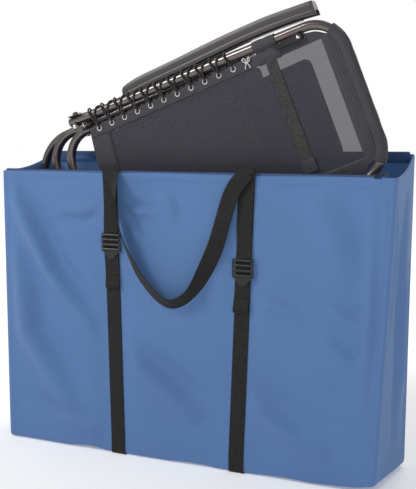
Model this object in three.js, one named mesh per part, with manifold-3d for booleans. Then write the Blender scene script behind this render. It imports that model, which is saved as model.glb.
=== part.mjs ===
// A zippered fabric carry bag with webbing straps, holding a folded lounge chair with laced slings.
// Millimetres, +Z up, X along the bag's length, Y through its depth, origin under the bag's middle.
import * as THREE from "three";
import { mergeVertices } from "three/addons/utils/BufferGeometryUtils.js";
import Module from "manifold-3d";

const wasm = await Module();
wasm.setup();

// ---- Driving dimensions of the bag ----
const BAG_LENGTH = 960;
const BAG_DEPTH = 212;
const FRONT_HEIGHT = 682;
const BACK_HEIGHT = 718;
const CLOTH = 1.6; // fabric thickness
const GAP = 0.3; // between touching pieces
const WEBBING_WIDTH = 37;
const WEBBING_THICK = 1.6;
const BASE = WEBBING_THICK + GAP; // the fabric sits on the webbing that runs under it
const STRAPS = {
  left: { top: -180, bottom: -166, rise: 694, buckle: 513, tail: 408 },
  right: { top: 166, bottom: 141, rise: 694, buckle: 474, tail: 375 },
};
const WEBBING_TOP = 674;
const ZIP_REACH = 468; // half length of each zip tape
const SLIDER_X = 455;

// ---- Driving dimensions of the chair, in its own tilted frame (u along it, w through it, v across) ----
const TILT = THREE.MathUtils.degToRad(22);
const HIP = new THREE.Vector3(-309, 0, 782); // the hip end of the chair in the bag's frame
const TUBE = 11; // tube radius
const LAYER = { back: -40.5, rear: -13.5, front: 13.5, seat: 40.5 }; // where each frame lies in w
const MID_V = -192; // the chair's centre line
const HEAD_U = 689;
const HEAD_BEND = 76;
const PIVOT_U = 8; // all frames fan out from bolts here
const BOLT = 4; // bolt radius
const RAIL_V = 14; // height of the back rail at u = 0
const RAIL_TAPER = 0.045; // the back frame narrows towards the head
const HOLES = 11; // lacing holes along each edge of a sling
const HOLE_PITCH = 37.3;
const HOLE_U = 59;
const HOLE_V = -26;
const HOLE_TAPER = 0.016;
const HOLE_RADIUS = 5.3;
const LACE = 1.7; // lace radius
const PLATE = { low: 25.4, high: 28.4, from: -7, to: 23, half: 53 }; // hip plate across the four frames

// ---- Materials ----
const finish = (color, roughness, metalness) =>
  new THREE.MeshStandardMaterial({ color, roughness, metalness });
const BAG_CLOTH = finish(0x587cae, 0.8, 0);
const WEBBING = finish(0x3c3a37, 0.85, 0);
const BLACK_PLASTIC = finish(0x2a2a2c, 0.45, 0);
const ARM_PLASTIC = finish(0x3e3c42, 0.5, 0);
const BRONZE_TUBE = finish(0x5b524e, 0.35, 0.8);
const BRIGHT_STEEL = finish(0xc9c6c2, 0.25, 1);
const SLING = finish(0x46444e, 0.9, 0);
const LACE_CORD = finish(0x1d1d20, 0.9, 0);
const ELASTIC = finish(0x3f3d38, 0.9, 0);

// ---- Helpers ----
const V = (x, y, z) => new THREE.Vector3(x, y, z);
const root = new THREE.Group();
const chair = new THREE.Group(); // x is u, y is w and z is v inside it
chair.position.copy(HIP);
chair.rotation.y = -TILT;
root.add(chair);

function place(group, name, geometry, material) {
  const mesh = new THREE.Mesh(geometry, material);
  mesh.name = name;
  group.add(mesh);
  return mesh;
}

// A path straight through its points. The section keeps one direction ("across") and is mitred.
class Route extends THREE.Curve {
  constructor(points, across) {
    super();
    this.points = points;
    this.across = across;
  }
  getPoint(t) {
    return this.points[Math.round(t * (this.points.length - 1))].clone();
  }
  getPointAt(t) {
    return this.getPoint(t);
  }
  getSpacedPoints() {
    return this.points.map((p) => p.clone());
  }
  computeFrenetFrames() {
    const last = this.points.length - 1;
    const frames = { tangents: [], normals: [], binormals: [] };
    this.points.forEach((point, i) => {
      const before = point.clone().sub(this.points[Math.max(i - 1, 0)]);
      const after = this.points[Math.min(i + 1, last)].clone().sub(point);
      if (i === 0) before.copy(after);
      if (i === last) after.copy(before);
      const tangent = before.normalize().add(after.normalize()).normalize();
      const wanted = typeof this.across === "function" ? this.across(i / last) : this.across.clone();
      const normal = wanted.addScaledVector(tangent, -wanted.dot(tangent)).normalize();
      const binormal = tangent.clone().cross(normal).divideScalar(tangent.dot(after));
      frames.tangents.push(tangent);
      frames.normals.push(normal);
      frames.binormals.push(binormal);
    });
    return frames;
  }
}

const polygon = (sides, radius) =>
  new THREE.Shape(
    Array.from({ length: sides }, (_, i) => {
      const turn = (i / sides) * 2 * Math.PI;
      return new THREE.Vector2(radius * Math.cos(turn), radius * Math.sin(turn));
    }),
  );

function rectangle(x0, y0, x1, y1) {
  const corners = [[x0, y0], [x1, y0], [x1, y1], [x0, y1]];
  return new THREE.Shape(corners.map(([x, y]) => new THREE.Vector2(x, y)));
}

function sweep(shape, path, steps) {
  return new THREE.ExtrudeGeometry(shape, { extrudePath: path, steps, bevelEnabled: false });
}

function along(shape, points, across) {
  return sweep(shape, new Route(points, across), points.length - 1);
}

// A flat strip of webbing or cloth through the points, its width lying along "across".
function strip(points, width, thick, across) {
  return along(rectangle(-width / 2, -thick / 2, width / 2, thick / 2), points, across);
}

// A plate: an outline in the two named axes ("xy", "xz" or "yz"), thick along the third one.
function slab(shape, from, to, axes) {
  const geometry = new THREE.ExtrudeGeometry(shape, { depth: to - from, bevelEnabled: false });
  geometry.translate(0, 0, from);
  if (axes === "xz") geometry.rotateX(Math.PI / 2).scale(1, -1, 1);
  if (axes === "yz") {
    geometry.applyMatrix4(new THREE.Matrix4().makeBasis(V(0, 1, 0), V(0, 0, 1), V(1, 0, 0)));
  }
  if (axes === "xz") flip(geometry);
  return geometry;
}

// Turns every face round, for a geometry that a mirroring turned inside out.
function flip(geometry) {
  const position = geometry.getAttribute("position");
  for (let i = 0; i < position.count; i += 3) {
    const [x, y, z] = [position.getX(i), position.getY(i), position.getZ(i)];
    position.setXYZ(i, position.getX(i + 1), position.getY(i + 1), position.getZ(i + 1));
    position.setXYZ(i + 1, x, y, z);
  }
  return geometry;
}

const box = (x0, y0, z0, x1, y1, z1) => slab(rectangle(x0, y0, x1, y1), z0, z1, "xy");

// A body turned about the v axis (or another one, by the caller), from radius and height pairs.
function turned(profile, segments) {
  const points = profile.map(([r, h]) => new THREE.Vector2(r, h));
  return new THREE.LatheGeometry(points, segments).rotateX(Math.PI / 2);
}

function solid(geometry) {
  const bare = geometry.clone();
  bare.deleteAttribute("normal");
  bare.deleteAttribute("uv");
  const merged = mergeVertices(bare, 1e-3);
  return new wasm.Manifold(
    new wasm.Mesh({
      numProp: 3,
      vertProperties: merged.attributes.position.array,
      triVerts: new Uint32Array(merged.index.array),
    }),
  );
}

function shaped(base, { add = [], cut = [] }) {
  let body = solid(base);
  for (const piece of add) body = body.add(solid(piece));
  for (const piece of cut) body = body.subtract(solid(piece));
  const mesh = body.getMesh();
  const geometry = new THREE.BufferGeometry();
  geometry.setAttribute("position", new THREE.BufferAttribute(mesh.vertProperties, 3));
  geometry.setIndex(new THREE.BufferAttribute(mesh.triVerts, 1));
  return geometry;
}

// The same body on the other side of the chair's centre line.
function mirrored(geometry) {
  const other = geometry.index ? geometry.toNonIndexed() : geometry.clone();
  other.scale(1, 1, -1).translate(0, 0, 2 * MID_V);
  return flip(other);
}

// ---- The bag's fabric ----
const X = V(1, 0, 0);
const HALF = { x: BAG_LENGTH / 2, y: BAG_DEPTH / 2 };
const INNER_Y = HALF.y - CLOTH - GAP;

function bagFabric() {
  const panel = (height) => rectangle(-HALF.x, BASE, HALF.x, height);
  place(root, "front_panel", slab(panel(FRONT_HEIGHT), -HALF.y, -HALF.y + CLOTH, "xz"), BAG_CLOTH);
  place(root, "back_panel", slab(panel(BACK_HEIGHT), HALF.y - CLOTH, HALF.y, "xz"), BAG_CLOTH);

  const inside = HALF.x - CLOTH - GAP;
  place(root, "bottom_panel", box(-inside, -INNER_Y, BASE, inside, INNER_Y, BASE + CLOTH), BAG_CLOTH);

  // Each end's top edge falls from the back panel to the front lip in a soft S.
  const gusset = new THREE.Shape();
  gusset.moveTo(-INNER_Y, BASE);
  gusset.lineTo(INNER_Y, BASE);
  gusset.lineTo(INNER_Y, BACK_HEIGHT - 2);
  const lip = FRONT_HEIGHT - 2;
  gusset.bezierCurveTo(INNER_Y / 2, BACK_HEIGHT - 8, INNER_Y / 4, lip, -INNER_Y, lip);
  gusset.closePath();
  place(root, "left_gusset", slab(gusset, -HALF.x, -HALF.x + CLOTH, "yz"), BAG_CLOTH);
  place(root, "right_gusset", slab(gusset, HALF.x - CLOTH, HALF.x, "yz"), BAG_CLOTH);
}

// ---- Zip: a tape inside each lip, one slider with a pull, parked at the right front corner ----
const TAPE = { thick: 1.2, low: 20, proud: 7 }; // below and above the lip
// Blocks of the slider: along the tape, half the width across it, and heights above its top edge.
const SLIDER = {
  body: { from: -8, to: 8, half: 3, low: -5, high: 3 },
  slot: { from: -9, to: 9, half: 1, low: -6, high: 0.4 },
  bail: { from: -4, to: 5, half: 1.5, low: 2, high: 6 },
  eye: { from: -1, to: 3, half: 2, low: 3.4, high: 4.8 },
};
const PULL = { from: 6.4, to: 20, near: 2.5, half: 4, low: 3.2, high: 5.2 };

function zip() {
  const tape = (y0, height) =>
    box(-ZIP_REACH, y0, height - TAPE.low, ZIP_REACH, y0 + TAPE.thick, height + TAPE.proud);
  place(root, "zip_tape_front", tape(-INNER_Y, FRONT_HEIGHT), BLACK_PLASTIC);
  place(root, "zip_tape_back", tape(INNER_Y - TAPE.thick, BACK_HEIGHT), BLACK_PLASTIC);

  const middle = -INNER_Y + TAPE.thick / 2;
  const top = FRONT_HEIGHT + TAPE.proud;
  const block = ({ from, to, half, low, high }) =>
    box(SLIDER_X + from, middle - half, top + low, SLIDER_X + to, middle + half, top + high);
  const parts = { add: [block(SLIDER.bail)], cut: [block(SLIDER.slot), block(SLIDER.eye)] };
  place(root, "zip_slider", shaped(block(SLIDER.body), parts), BLACK_PLASTIC);

  // The pull is a flat tab, wider towards its round end.
  const pull = new THREE.Shape();
  pull.moveTo(SLIDER_X + PULL.from, middle - PULL.near);
  pull.lineTo(SLIDER_X + PULL.to - 2, middle - PULL.half);
  pull.absarc(SLIDER_X + PULL.to, middle, PULL.half, -Math.PI / 2, Math.PI / 2, false);
  pull.lineTo(SLIDER_X + PULL.from, middle + PULL.near);
  pull.closePath();
  place(root, "zip_pull", slab(pull, top + PULL.low, top + PULL.high, "xy"), BLACK_PLASTIC);
}

// ---- Webbing: each strap wraps under the bag and up the back; the upper straps run down to buckles ----
const STRAP_LOW = 40; // where a strap stops leaning
const BUCKLE = {
  half: 25, top: 24, shoulder: -18, tip: -36, thick: 4,
  slotHalf: 20.2, slotHigh: 12.5, slotLows: [-17, 4], // the webbing passes through the slots
};

// A ladder buckle's outline, with a rounded thumb tab below.
function buckleOutline() {
  const { half, top, shoulder, tip } = BUCKLE;
  const shape = new THREE.Shape();
  shape.moveTo(-half, top);
  shape.lineTo(-half, shoulder);
  shape.bezierCurveTo(-half, tip + 6, -half / 2, tip, 0, tip);
  shape.bezierCurveTo(half / 2, tip, half, tip + 6, half, shoulder);
  shape.lineTo(half, top);
  shape.closePath();
  for (const low of BUCKLE.slotLows) {
    const slot = rectangle(-BUCKLE.slotHalf, low, BUCKLE.slotHalf, low + BUCKLE.slotHigh);
    shape.holes.push(new THREE.Path(slot.getPoints().reverse()));
  }
  return shape;
}

function webbing() {
  const low = WEBBING_THICK / 2;
  const out = HALF.y + GAP + low;
  const outline = buckleOutline();

  for (const [side, s] of Object.entries(STRAPS)) {
    const lean = (z) => s.bottom + ((s.top - s.bottom) * (z - STRAP_LOW)) / (s.rise - STRAP_LOW);
    const foot = [V(s.bottom, -out, STRAP_LOW), V(s.bottom, -out, low)];
    const front = [V(lean(WEBBING_TOP), -out, WEBBING_TOP), ...foot];
    const back = front.map((p) => V(p.x, -p.y, p.z)).reverse();
    place(root, `${side}_webbing`, strip([...front, ...back], WEBBING_WIDTH, WEBBING_THICK, X), WEBBING);

    for (const [face, sign] of [["front", -1], ["back", 1]]) {
      const rise = face === "front" ? s.rise : s.rise + BACK_HEIGHT - FRONT_HEIGHT;
      const y = sign * (out + WEBBING_THICK + GAP);
      const upper = [V(lean(rise), y, rise), V(lean(s.tail), y, s.tail)];
      place(root, `${side}_${face}_strap`, strip(upper, WEBBING_WIDTH, WEBBING_THICK, X), WEBBING);

      const near = out + 1.5 * WEBBING_THICK + 2 * GAP;
      const far = near + BUCKLE.thick;
      const [y0, y1] = sign < 0 ? [-far, -near] : [near, far];
      const buckle = slab(outline, y0, y1, "xz").translate(lean(s.buckle), 0, s.buckle);
      place(root, `${side}_${face}_buckle`, buckle, BLACK_PLASTIC);
    }
  }
}

// ---- Carry handles: one length of webbing between the strap tops, hanging in an uneven U ----
const HANDLE_TOP = 689;
const HANDLE_SPAN = [
  [STRAPS.left.top, HANDLE_TOP], [-160, 650], [-147, 558], [-91, 443], [-21, 386], [30, 406], [88, 502],
  [136, 649], [STRAPS.right.top, HANDLE_TOP],
];
const HANDLE_OFF = 6; // from the panel at the folds
const HANDLE_BULGE = 17; // further out at its lowest point
const HANDLE_TURN = 0.9; // how far the band turns its face as it bends round, in radians
const HANDLE_STEPS = 26;

function handle(sign, lift) {
  const reach = HALF.y + HANDLE_OFF;
  const points = HANDLE_SPAN.map(([x, z], i) => {
    const hang = Math.sin((i / (HANDLE_SPAN.length - 1)) * Math.PI);
    return V(x, sign * (reach + HANDLE_BULGE * hang), z + lift);
  });
  const curve = new THREE.CatmullRomCurve3(points, false, "centripetal");
  const across = (t) => {
    const tangent = curve.getTangentAt(t);
    const flat = tangent.clone().cross(V(0, 1, 0)).normalize();
    return flat.applyAxisAngle(tangent, HANDLE_TURN * Math.sin(t * Math.PI) ** 2);
  };
  return strip(curve.getSpacedPoints(HANDLE_STEPS), WEBBING_WIDTH, WEBBING_THICK, across);
}

// ---- Chair frames ----
const W = V(0, 1, 0);
const railV = (u) => RAIL_V - RAIL_TAPER * u;

// The upper bend of a U-shaped tube, from its rail to its cross tube, or a line beside it.
function bend({ layer, bendU, bendV, radius, crossU }, inset = 0, from = 0, count = 8) {
  const towards = Math.sign(crossU - bendU);
  return Array.from({ length: count }, (_, i) => {
    const turn = from + (i / (count - 1)) * (Math.PI / 2 - from);
    const reach = radius - inset;
    return V(bendU + towards * reach * Math.sin(turn), layer, bendV - radius + reach * Math.cos(turn));
  });
}

// The height of a frame's straight rail at u.
const frameV = ({ openU, openV, bendU, bendV }, u) =>
  bendV + ((openV - bendV) * (u - bendU)) / (openU - bendU);

const acrossMiddle = (points) => points.map((p) => V(p.x, p.y, 2 * MID_V - p.z)).reverse();

// A U-shaped tube lying in one layer: two rails joined by a bend, a cross tube and a bend.
function bentTube(frame) {
  const half = [V(frame.openU, frame.layer, frame.openV), ...bend(frame)];
  return along(polygon(12, TUBE), [...half, ...acrossMiddle(half)], W);
}

// A bolt's hole right through a rail at the hip, on both sides of the chair.
function hipHoles(layer) {
  const radius = BOLT + GAP;
  const reach = 30; // past both faces of any rail
  const profile = [[0, -reach], [radius, -reach], [radius, reach], [0, reach]];
  const hole = (v) => turned(profile, 10).translate(PIVOT_U, layer, v);
  return [hole(0), hole(2 * MID_V)];
}

const FRAMES = {
  back_frame: {
    layer: LAYER.back, openU: -12, openV: railV(-12), crossU: HEAD_U,
    bendU: HEAD_U - HEAD_BEND, bendV: railV(HEAD_U - HEAD_BEND), radius: HEAD_BEND,
  },
  seat_frame: {
    layer: LAYER.seat, openU: 462, openV: 4, crossU: -191, bendU: -85, bendV: 10, radius: 106,
  },
  front_leg_frame: {
    layer: LAYER.front, openU: 425, openV: -7, crossU: -128, bendU: -50, bendV: 4, radius: 78,
  },
  rear_leg_frame: {
    layer: LAYER.rear, openU: 412, openV: -15, crossU: -66, bendU: 6, bendV: -13, radius: 72,
  },
};

const LEVER = { u: 601, v: -30, w: -54.2, thick: 5.6, rivet: 3, boss: 9.5, reach: 56 };
const TAB = { low: -44.6, high: -41.6, before: 16, after: 14, below: 9, above: 12 };

// The rivet's hole through a lever and the tab behind it.
function leverHole() {
  const radius = LEVER.rivet + GAP;
  const [far, near] = [LEVER.w - 16, TAB.high + 22];
  const hole = turned([[0, far], [radius, far], [radius, near], [0, near]], 10);
  return hole.rotateX(-Math.PI / 2).translate(LEVER.u, 0, LEVER.v);
}

function frames() {
  for (const [name, frame] of Object.entries(FRAMES)) {
    const cut = hipHoles(frame.layer);
    const add = [];
    if (name === "back_frame") {
      // A small tab under each rail carries the lock lever.
      const [u0, u1] = [LEVER.u - TAB.before, LEVER.u + TAB.after];
      const tab = slab(rectangle(u0, LEVER.v - TAB.below, u1, LEVER.v + TAB.above), TAB.low, TAB.high, "xz");
      const hole = leverHole();
      add.push(tab, mirrored(tab));
      cut.push(hole, mirrored(hole));
    }
    place(chair, name, shaped(bentTube(frame), { add, cut }), BRONZE_TUBE);
  }
}

// Black sleeves on the leg frames' cross tubes, where they stand on the ground.
function feet() {
  const length = 44;
  const [inner, outer] = [TUBE + GAP, TUBE + 2.6];
  const ring = [[inner, 0], [outer, 0], [outer, length], [inner, length], [inner, 0]];
  // How far past the bend each pair of sleeves starts.
  const starts = { rear: 6, front: 46 };
  for (const [name, start] of Object.entries(starts)) {
    const frame = FRAMES[`${name}_leg_frame`];
    const top = frame.bendV - frame.radius - start;
    const sleeve = turned(ring, 12).translate(frame.crossU, frame.layer, top - length);
    place(chair, `${name}_foot_upper`, sleeve, BLACK_PLASTIC);
    place(chair, `${name}_foot_lower`, mirrored(sleeve), BLACK_PLASTIC);
  }
}

// ---- Slings: a sheet laced between the rails, with a row of holes along each edge ----
const holeAt = (i) => ({ u: HOLE_U + i * HOLE_PITCH, v: HOLE_V - HOLE_TAPER * i * HOLE_PITCH });
const SLING_EDGE = 9; // fabric beyond the hole centres

const slingEdge = (u) => HOLE_V + SLING_EDGE - HOLE_TAPER * (u - HOLE_U);

const SLING_HIP = { u: 30, bevel: 4, bow: 16 }; // the hip edge pulls in between its bevelled corners

// The upper half of the outline runs from the hip edge to "end", and the lower half mirrors it.
function slingShape(end) {
  const { u: hip, bevel, bow } = SLING_HIP;
  const upper = [[hip, slingEdge(hip) - bevel], [hip + bevel, slingEdge(hip + bevel)], ...end];
  const lower = upper.map(([u, v]) => [u, 2 * MID_V - v]).reverse();
  const bowed = [[hip - bow, MID_V]];
  const outline = [...upper, ...lower, ...bowed].reverse();
  const shape = new THREE.Shape(outline.map(([u, v]) => new THREE.Vector2(u, v)));
  for (let i = 0; i < HOLES; i += 1) {
    const { u, v } = holeAt(i);
    for (const centre of [v, 2 * MID_V - v]) {
      const ring = polygon(8, HOLE_RADIUS).getPoints().slice(0, 8);
      shape.holes.push(new THREE.Path(ring.map((p) => new THREE.Vector2(p.x + u, p.y + centre)).reverse()));
    }
  }
  return shape;
}

const RAIL_LOOP = { u: 494, length: 55, sewnV: -40 };
const SEAT_END = 462;

function slings() {
  const back = LAYER.back;
  const frame = FRAMES.back_frame;
  const inner = TUBE + GAP;
  // The sheet runs clear of the bend, then joins the sleeve of cloth round the head cross tube.
  const sleeveFrom = (4 / 7) * (Math.PI / 2); // at one of the bend's own corners
  const clear = bend(frame, TUBE + 3.5, 0, 5).slice(0, 3);
  const joined = bend(frame, inner + 0.9, sleeveFrom, 4);
  const end = [...clear, ...joined].map((p) => [p.x, p.z]);
  const sheet = slab(slingShape(end), back - CLOTH / 2, back + CLOTH / 2, "xz");
  const annulus = polygon(12, inner + 2);
  annulus.holes.push(new THREE.Path(polygon(12, inner).getPoints().slice(0, 12).reverse()));
  const half = bend(frame, 0, sleeveFrom, 4);
  const sleeve = along(annulus, [...half, ...acrossMiddle(half)], W);
  // A tab beside the last hole goes round each rail, with a web of cloth from it to the sheet.
  const { u: tabU, length } = RAIL_LOOP;
  const wall = [[inner, 0], [inner + 2, 0], [inner + 2, length], [inner, length], [inner, 0]];
  const tab = turned(wall, 12).rotateY(Math.PI / 2 + Math.atan(RAIL_TAPER));
  tab.translate(tabU, back, railV(tabU));
  const [webFrom, webTo] = [tabU + 2, tabU + length - 2];
  const web = [
    [webFrom, RAIL_LOOP.sewnV], [webTo, RAIL_LOOP.sewnV],
    [webTo, railV(webTo) - inner - 1], [webFrom, railV(webFrom) - inner - 1],
  ];
  const webShape = new THREE.Shape(web.map(([u, v]) => new THREE.Vector2(u, v)));
  const webSheet = slab(webShape, back - CLOTH / 2, back + CLOTH / 2, "xz");
  const add = [sleeve, tab, mirrored(tab), webSheet, mirrored(webSheet)];
  place(chair, "back_sling", shaped(sheet, { add, cut: [] }), SLING);

  const seat = LAYER.seat;
  const edge = slingEdge(SEAT_END);
  const corner = [[SEAT_END - 20, edge], [SEAT_END - 5, edge - 6], [SEAT_END, edge - 26]];
  place(chair, "seat_sling", slab(slingShape(corner), seat - CLOTH / 2, seat + CLOTH / 2, "xz"), SLING);
}

// Lacing: out through a hole, over the rail, behind it and on to the next hole.
function lace(layer, rail) {
  const outward = Math.sign(layer);
  const round = TUBE + LACE + 1.4;
  const knot = 4; // its ends stand out of the first and last holes
  const points = [V(holeAt(0).u - 1, layer - outward * knot, holeAt(0).v)];
  for (let i = 0; i < HOLES; i += 1) {
    const { u, v } = holeAt(i);
    points.push(V(u, layer, v));
    if (i === HOLES - 1) break;
    for (let k = 0; k < 5; k += 1) {
      const turn = THREE.MathUtils.degToRad(-20 + 55 * k);
      const at = u + HOLE_PITCH * (0.2 + 0.15 * k);
      points.push(V(at, layer + outward * round * Math.cos(turn), rail(at) + round * Math.sin(turn)));
    }
  }
  points.push(V(holeAt(HOLES - 1).u + 1, layer + outward * knot, holeAt(HOLES - 1).v));
  const curve = new THREE.CatmullRomCurve3(points, false, "centripetal");
  return sweep(polygon(5, LACE), curve, (HOLES - 1) * 12);
}

function lacing() {
  const seatRail = (u) => frameV(FRAMES.seat_frame, u);
  for (const [name, layer, rail] of [["back", LAYER.back, railV], ["seat", LAYER.seat, seatRail]]) {
    const upper = lace(layer, rail);
    place(chair, `${name}_lace_upper`, upper, LACE_CORD);
    place(chair, `${name}_lace_lower`, mirrored(upper), LACE_CORD);
  }
}

// ---- Head pillow and the band that holds it ----
const PILLOW = { u: [420, 598], v: [-299, -72], corner: 22, inside: 4, outside: 8 };
const BAND = { width: 27, thick: 1.2, top: [522, -30], foot: [523, -306] };

function pillow() {
  const { u: [u0, u1], v: [v0, v1], corner: r } = PILLOW;
  const shape = new THREE.Shape();
  shape.moveTo(u0 + r, v0);
  shape.lineTo(u1 - r, v0);
  shape.absarc(u1 - r, v0 + r, r, -Math.PI / 2, 0, false);
  shape.lineTo(u1, v1 - r);
  shape.absarc(u1 - r, v1 - r, r, 0, Math.PI / 2, false);
  shape.lineTo(u0 + r, v1);
  shape.absarc(u0 + r, v1 - r, r, Math.PI / 2, Math.PI, false);
  shape.lineTo(u0, v0 + r);
  shape.absarc(u0 + r, v0 + r, r, Math.PI, 1.5 * Math.PI, false);
  const coarse = new THREE.Shape(shape.getPoints(4));
  const pad = slab(coarse, LAYER.back + PILLOW.inside, PILLOW.outside, "xz");
  place(chair, "headrest_pillow", pad, SLING);

  const w = LAYER.back - CLOTH / 2 - GAP - 0.1 - BAND.thick / 2;
  const ends = [BAND.top, BAND.foot].map(([u, v]) => V(u, w, v));
  const band = strip(ends, BAND.width, BAND.thick, X);
  place(chair, "pillow_band", band, ELASTIC);
}

// ---- Armrests, their rails and the ridged stops ----
const ARM_TOP = [
  [133, 33], [139, 46], [158, 51], [187, 54], [237, 54], [303, 55], [369, 55], [422, 55],
  [473, 54], [531, 52], [584, 47], [640, 41],
];
const ARM_UNDER = [
  [647, 7], [608, 13], [550, 18], [496, 21], [448, 22], [397, 22], [331, 22], [246, 23], [150, 22],
];
const ARM_HALF = 17;
const ARM_RAIL = { half: 8, thick: 4, startU: -3, levelU: 120, startV: 20.6 };
const ARM_STOP = { half: 7, from: 84, to: 126, pitch: 8 };

function armrests() {
  const outline = [...ARM_TOP, ...ARM_UNDER].map(([u, v]) => new THREE.Vector2(u, v)).reverse();
  const inset = 4;
  const arm = new THREE.ExtrudeGeometry(new THREE.Shape(outline), {
    depth: 2 * (ARM_HALF - inset), bevelEnabled: true, bevelThickness: inset, bevelSize: inset,
    bevelOffset: -inset, bevelSegments: 2,
  });
  arm.translate(0, 0, -(ARM_HALF - inset)).rotateX(Math.PI / 2);
  place(chair, "armrest_upper", arm, ARM_PLASTIC);
  place(chair, "armrest_lower", mirrored(arm), ARM_PLASTIC);

  const under = ARM_UNDER.slice(1).map(([u, v]) => V(u, 0, v - GAP - ARM_RAIL.thick / 2)).reverse();
  const start = V(ARM_RAIL.startU, 0, ARM_RAIL.startV - ARM_RAIL.thick / 2);
  const level = V(ARM_RAIL.levelU, 0, start.z);
  const flat = strip([start, level, ...under], 2 * ARM_RAIL.half, ARM_RAIL.thick, W);
  const rail = shaped(flat, { cut: [hipHoles(0)[0]] });
  place(chair, "arm_rail_upper", rail, BRONZE_TUBE);
  place(chair, "arm_rail_lower", mirrored(rail), BRONZE_TUBE);

  const low = ARM_RAIL.startV + GAP;
  const { from, to, pitch } = ARM_STOP;
  const ridges = [[from, low], [from, low + 3], [from + 6, low + 7]];
  for (let u = from + 10; u < to - 4; u += pitch) ridges.push([u, low + 9], [u + pitch / 2, low + 6.5]);
  ridges.push([to, low + 5], [to, low]);
  const ridged = new THREE.Shape(ridges.map(([u, v]) => new THREE.Vector2(u, v)).reverse());
  const stop = slab(ridged, -ARM_STOP.half, ARM_STOP.half, "xz");
  place(chair, "arm_stop_upper", stop, BLACK_PLASTIC);
  place(chair, "arm_stop_lower", mirrored(stop), BLACK_PLASTIC);
}

// ---- Hip plates and their bolts ----
function hips() {
  const outline = rectangle(PLATE.from, -PLATE.half, PLATE.to, PLATE.half);
  const layers = { back: LAYER.back, rear: LAYER.rear, arm: 0, front: LAYER.front, seat: LAYER.seat };
  const holes = Object.values(layers).map((w) => hipHoles(w)[0]);
  const plate = shaped(slab(outline, PLATE.low, PLATE.high, "xy"), { cut: holes });
  place(chair, "hip_plate_upper", plate, BRONZE_TUBE);
  place(chair, "hip_plate_lower", mirrored(plate), BRONZE_TUBE);

  // Each bolt goes through the plate, a spacer and one member, given by its middle and half thickness.
  const armMember = { middle: ARM_RAIL.startV - ARM_RAIL.thick / 2, reach: ARM_RAIL.thick / 2 };
  for (const [name, w] of Object.entries(layers)) {
    const frame = FRAMES[`${name}_frame`] ?? FRAMES[`${name}_leg_frame`];
    const { middle, reach } = frame ? { middle: frameV(frame, PIVOT_U), reach: TUBE } : armMember;
    const shoulder = middle + reach + 2 * GAP;
    const bottom = middle - reach - 2 * GAP;
    const underPlate = PLATE.low - GAP;
    const radius = frame ? BOLT + 1.4 : BOLT + 2;
    const spacer = [[BOLT, shoulder], [radius, shoulder], [radius, underPlate], [BOLT, underPlate]];
    const hasSpacer = shoulder < underPlate - 1;
    const overPlate = PLATE.high + GAP;
    const capTop = overPlate + (name === "back" ? 6 : 3.5);
    const profile = [
      [0, bottom - 2.5], [5.6, bottom - 2.5], [5.6, bottom], [BOLT, bottom], ...(hasSpacer ? spacer : []),
      [BOLT, overPlate], [6, overPlate], [6, capTop - 1.5], [4.4, capTop], [0, capTop],
    ];
    const bolt = turned(profile, 10).translate(PIVOT_U, w, 0);
    const material = name === "back" ? BLACK_PLASTIC : BRIGHT_STEEL;
    place(chair, `hip_bolt_${name}_upper`, bolt, material);
    place(chair, `hip_bolt_${name}_lower`, mirrored(bolt), material);
  }
}

// ---- Lock levers near the head ----
function levers() {
  const { u, v, w, thick, boss, reach, rivet } = LEVER;
  const shape = new THREE.Shape();
  shape.absarc(u, v, boss, -Math.PI / 2, Math.PI / 2, false);
  shape.lineTo(u - reach, v + 5);
  shape.lineTo(u - reach - 4, v);
  shape.lineTo(u - reach, v - 5);
  shape.closePath();
  const coarse = new THREE.Shape(shape.getPoints(6));
  const lever = shaped(slab(coarse, w, w + thick, "xz"), { cut: [leverHole()] });
  place(chair, "lock_lever_upper", lever, BLACK_PLASTIC);
  place(chair, "lock_lever_lower", mirrored(lever), BLACK_PLASTIC);

  // The rivet: a head outside the lever, a spacer behind it, and a shank into the tab.
  const head = w - GAP;
  const [spacerFrom, spacerTo] = [w + thick + GAP, TAB.low - GAP];
  const shankEnd = TAB.high - 0.1;
  const profile = [
    [0, head - 2.2], [rivet, head - 2.2], [5.5, head - 0.9], [5.5, head], [rivet, head],
    [rivet, spacerFrom], [4.6, spacerFrom], [4.6, spacerTo], [rivet, spacerTo],
    [rivet, shankEnd], [0, shankEnd],
  ];
  const turnedRivet = turned(profile, 12).rotateX(-Math.PI / 2).translate(u, 0, v);
  place(chair, "lever_rivet_upper", turnedRivet, BRIGHT_STEEL);
  place(chair, "lever_rivet_lower", mirrored(turnedRivet), BRIGHT_STEEL);
}

bagFabric();
zip();
webbing();
place(root, "handle_front", handle(-1, 0), WEBBING);
place(root, "handle_back", handle(1, BACK_HEIGHT - FRONT_HEIGHT), WEBBING);
frames();
feet();
slings();
lacing();
pillow();
armrests();
hips();
levers();

export default root;
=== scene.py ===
"""The looks of a fabric carry bag with webbing straps, and of the folded lounge chair in it."""

import math

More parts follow.
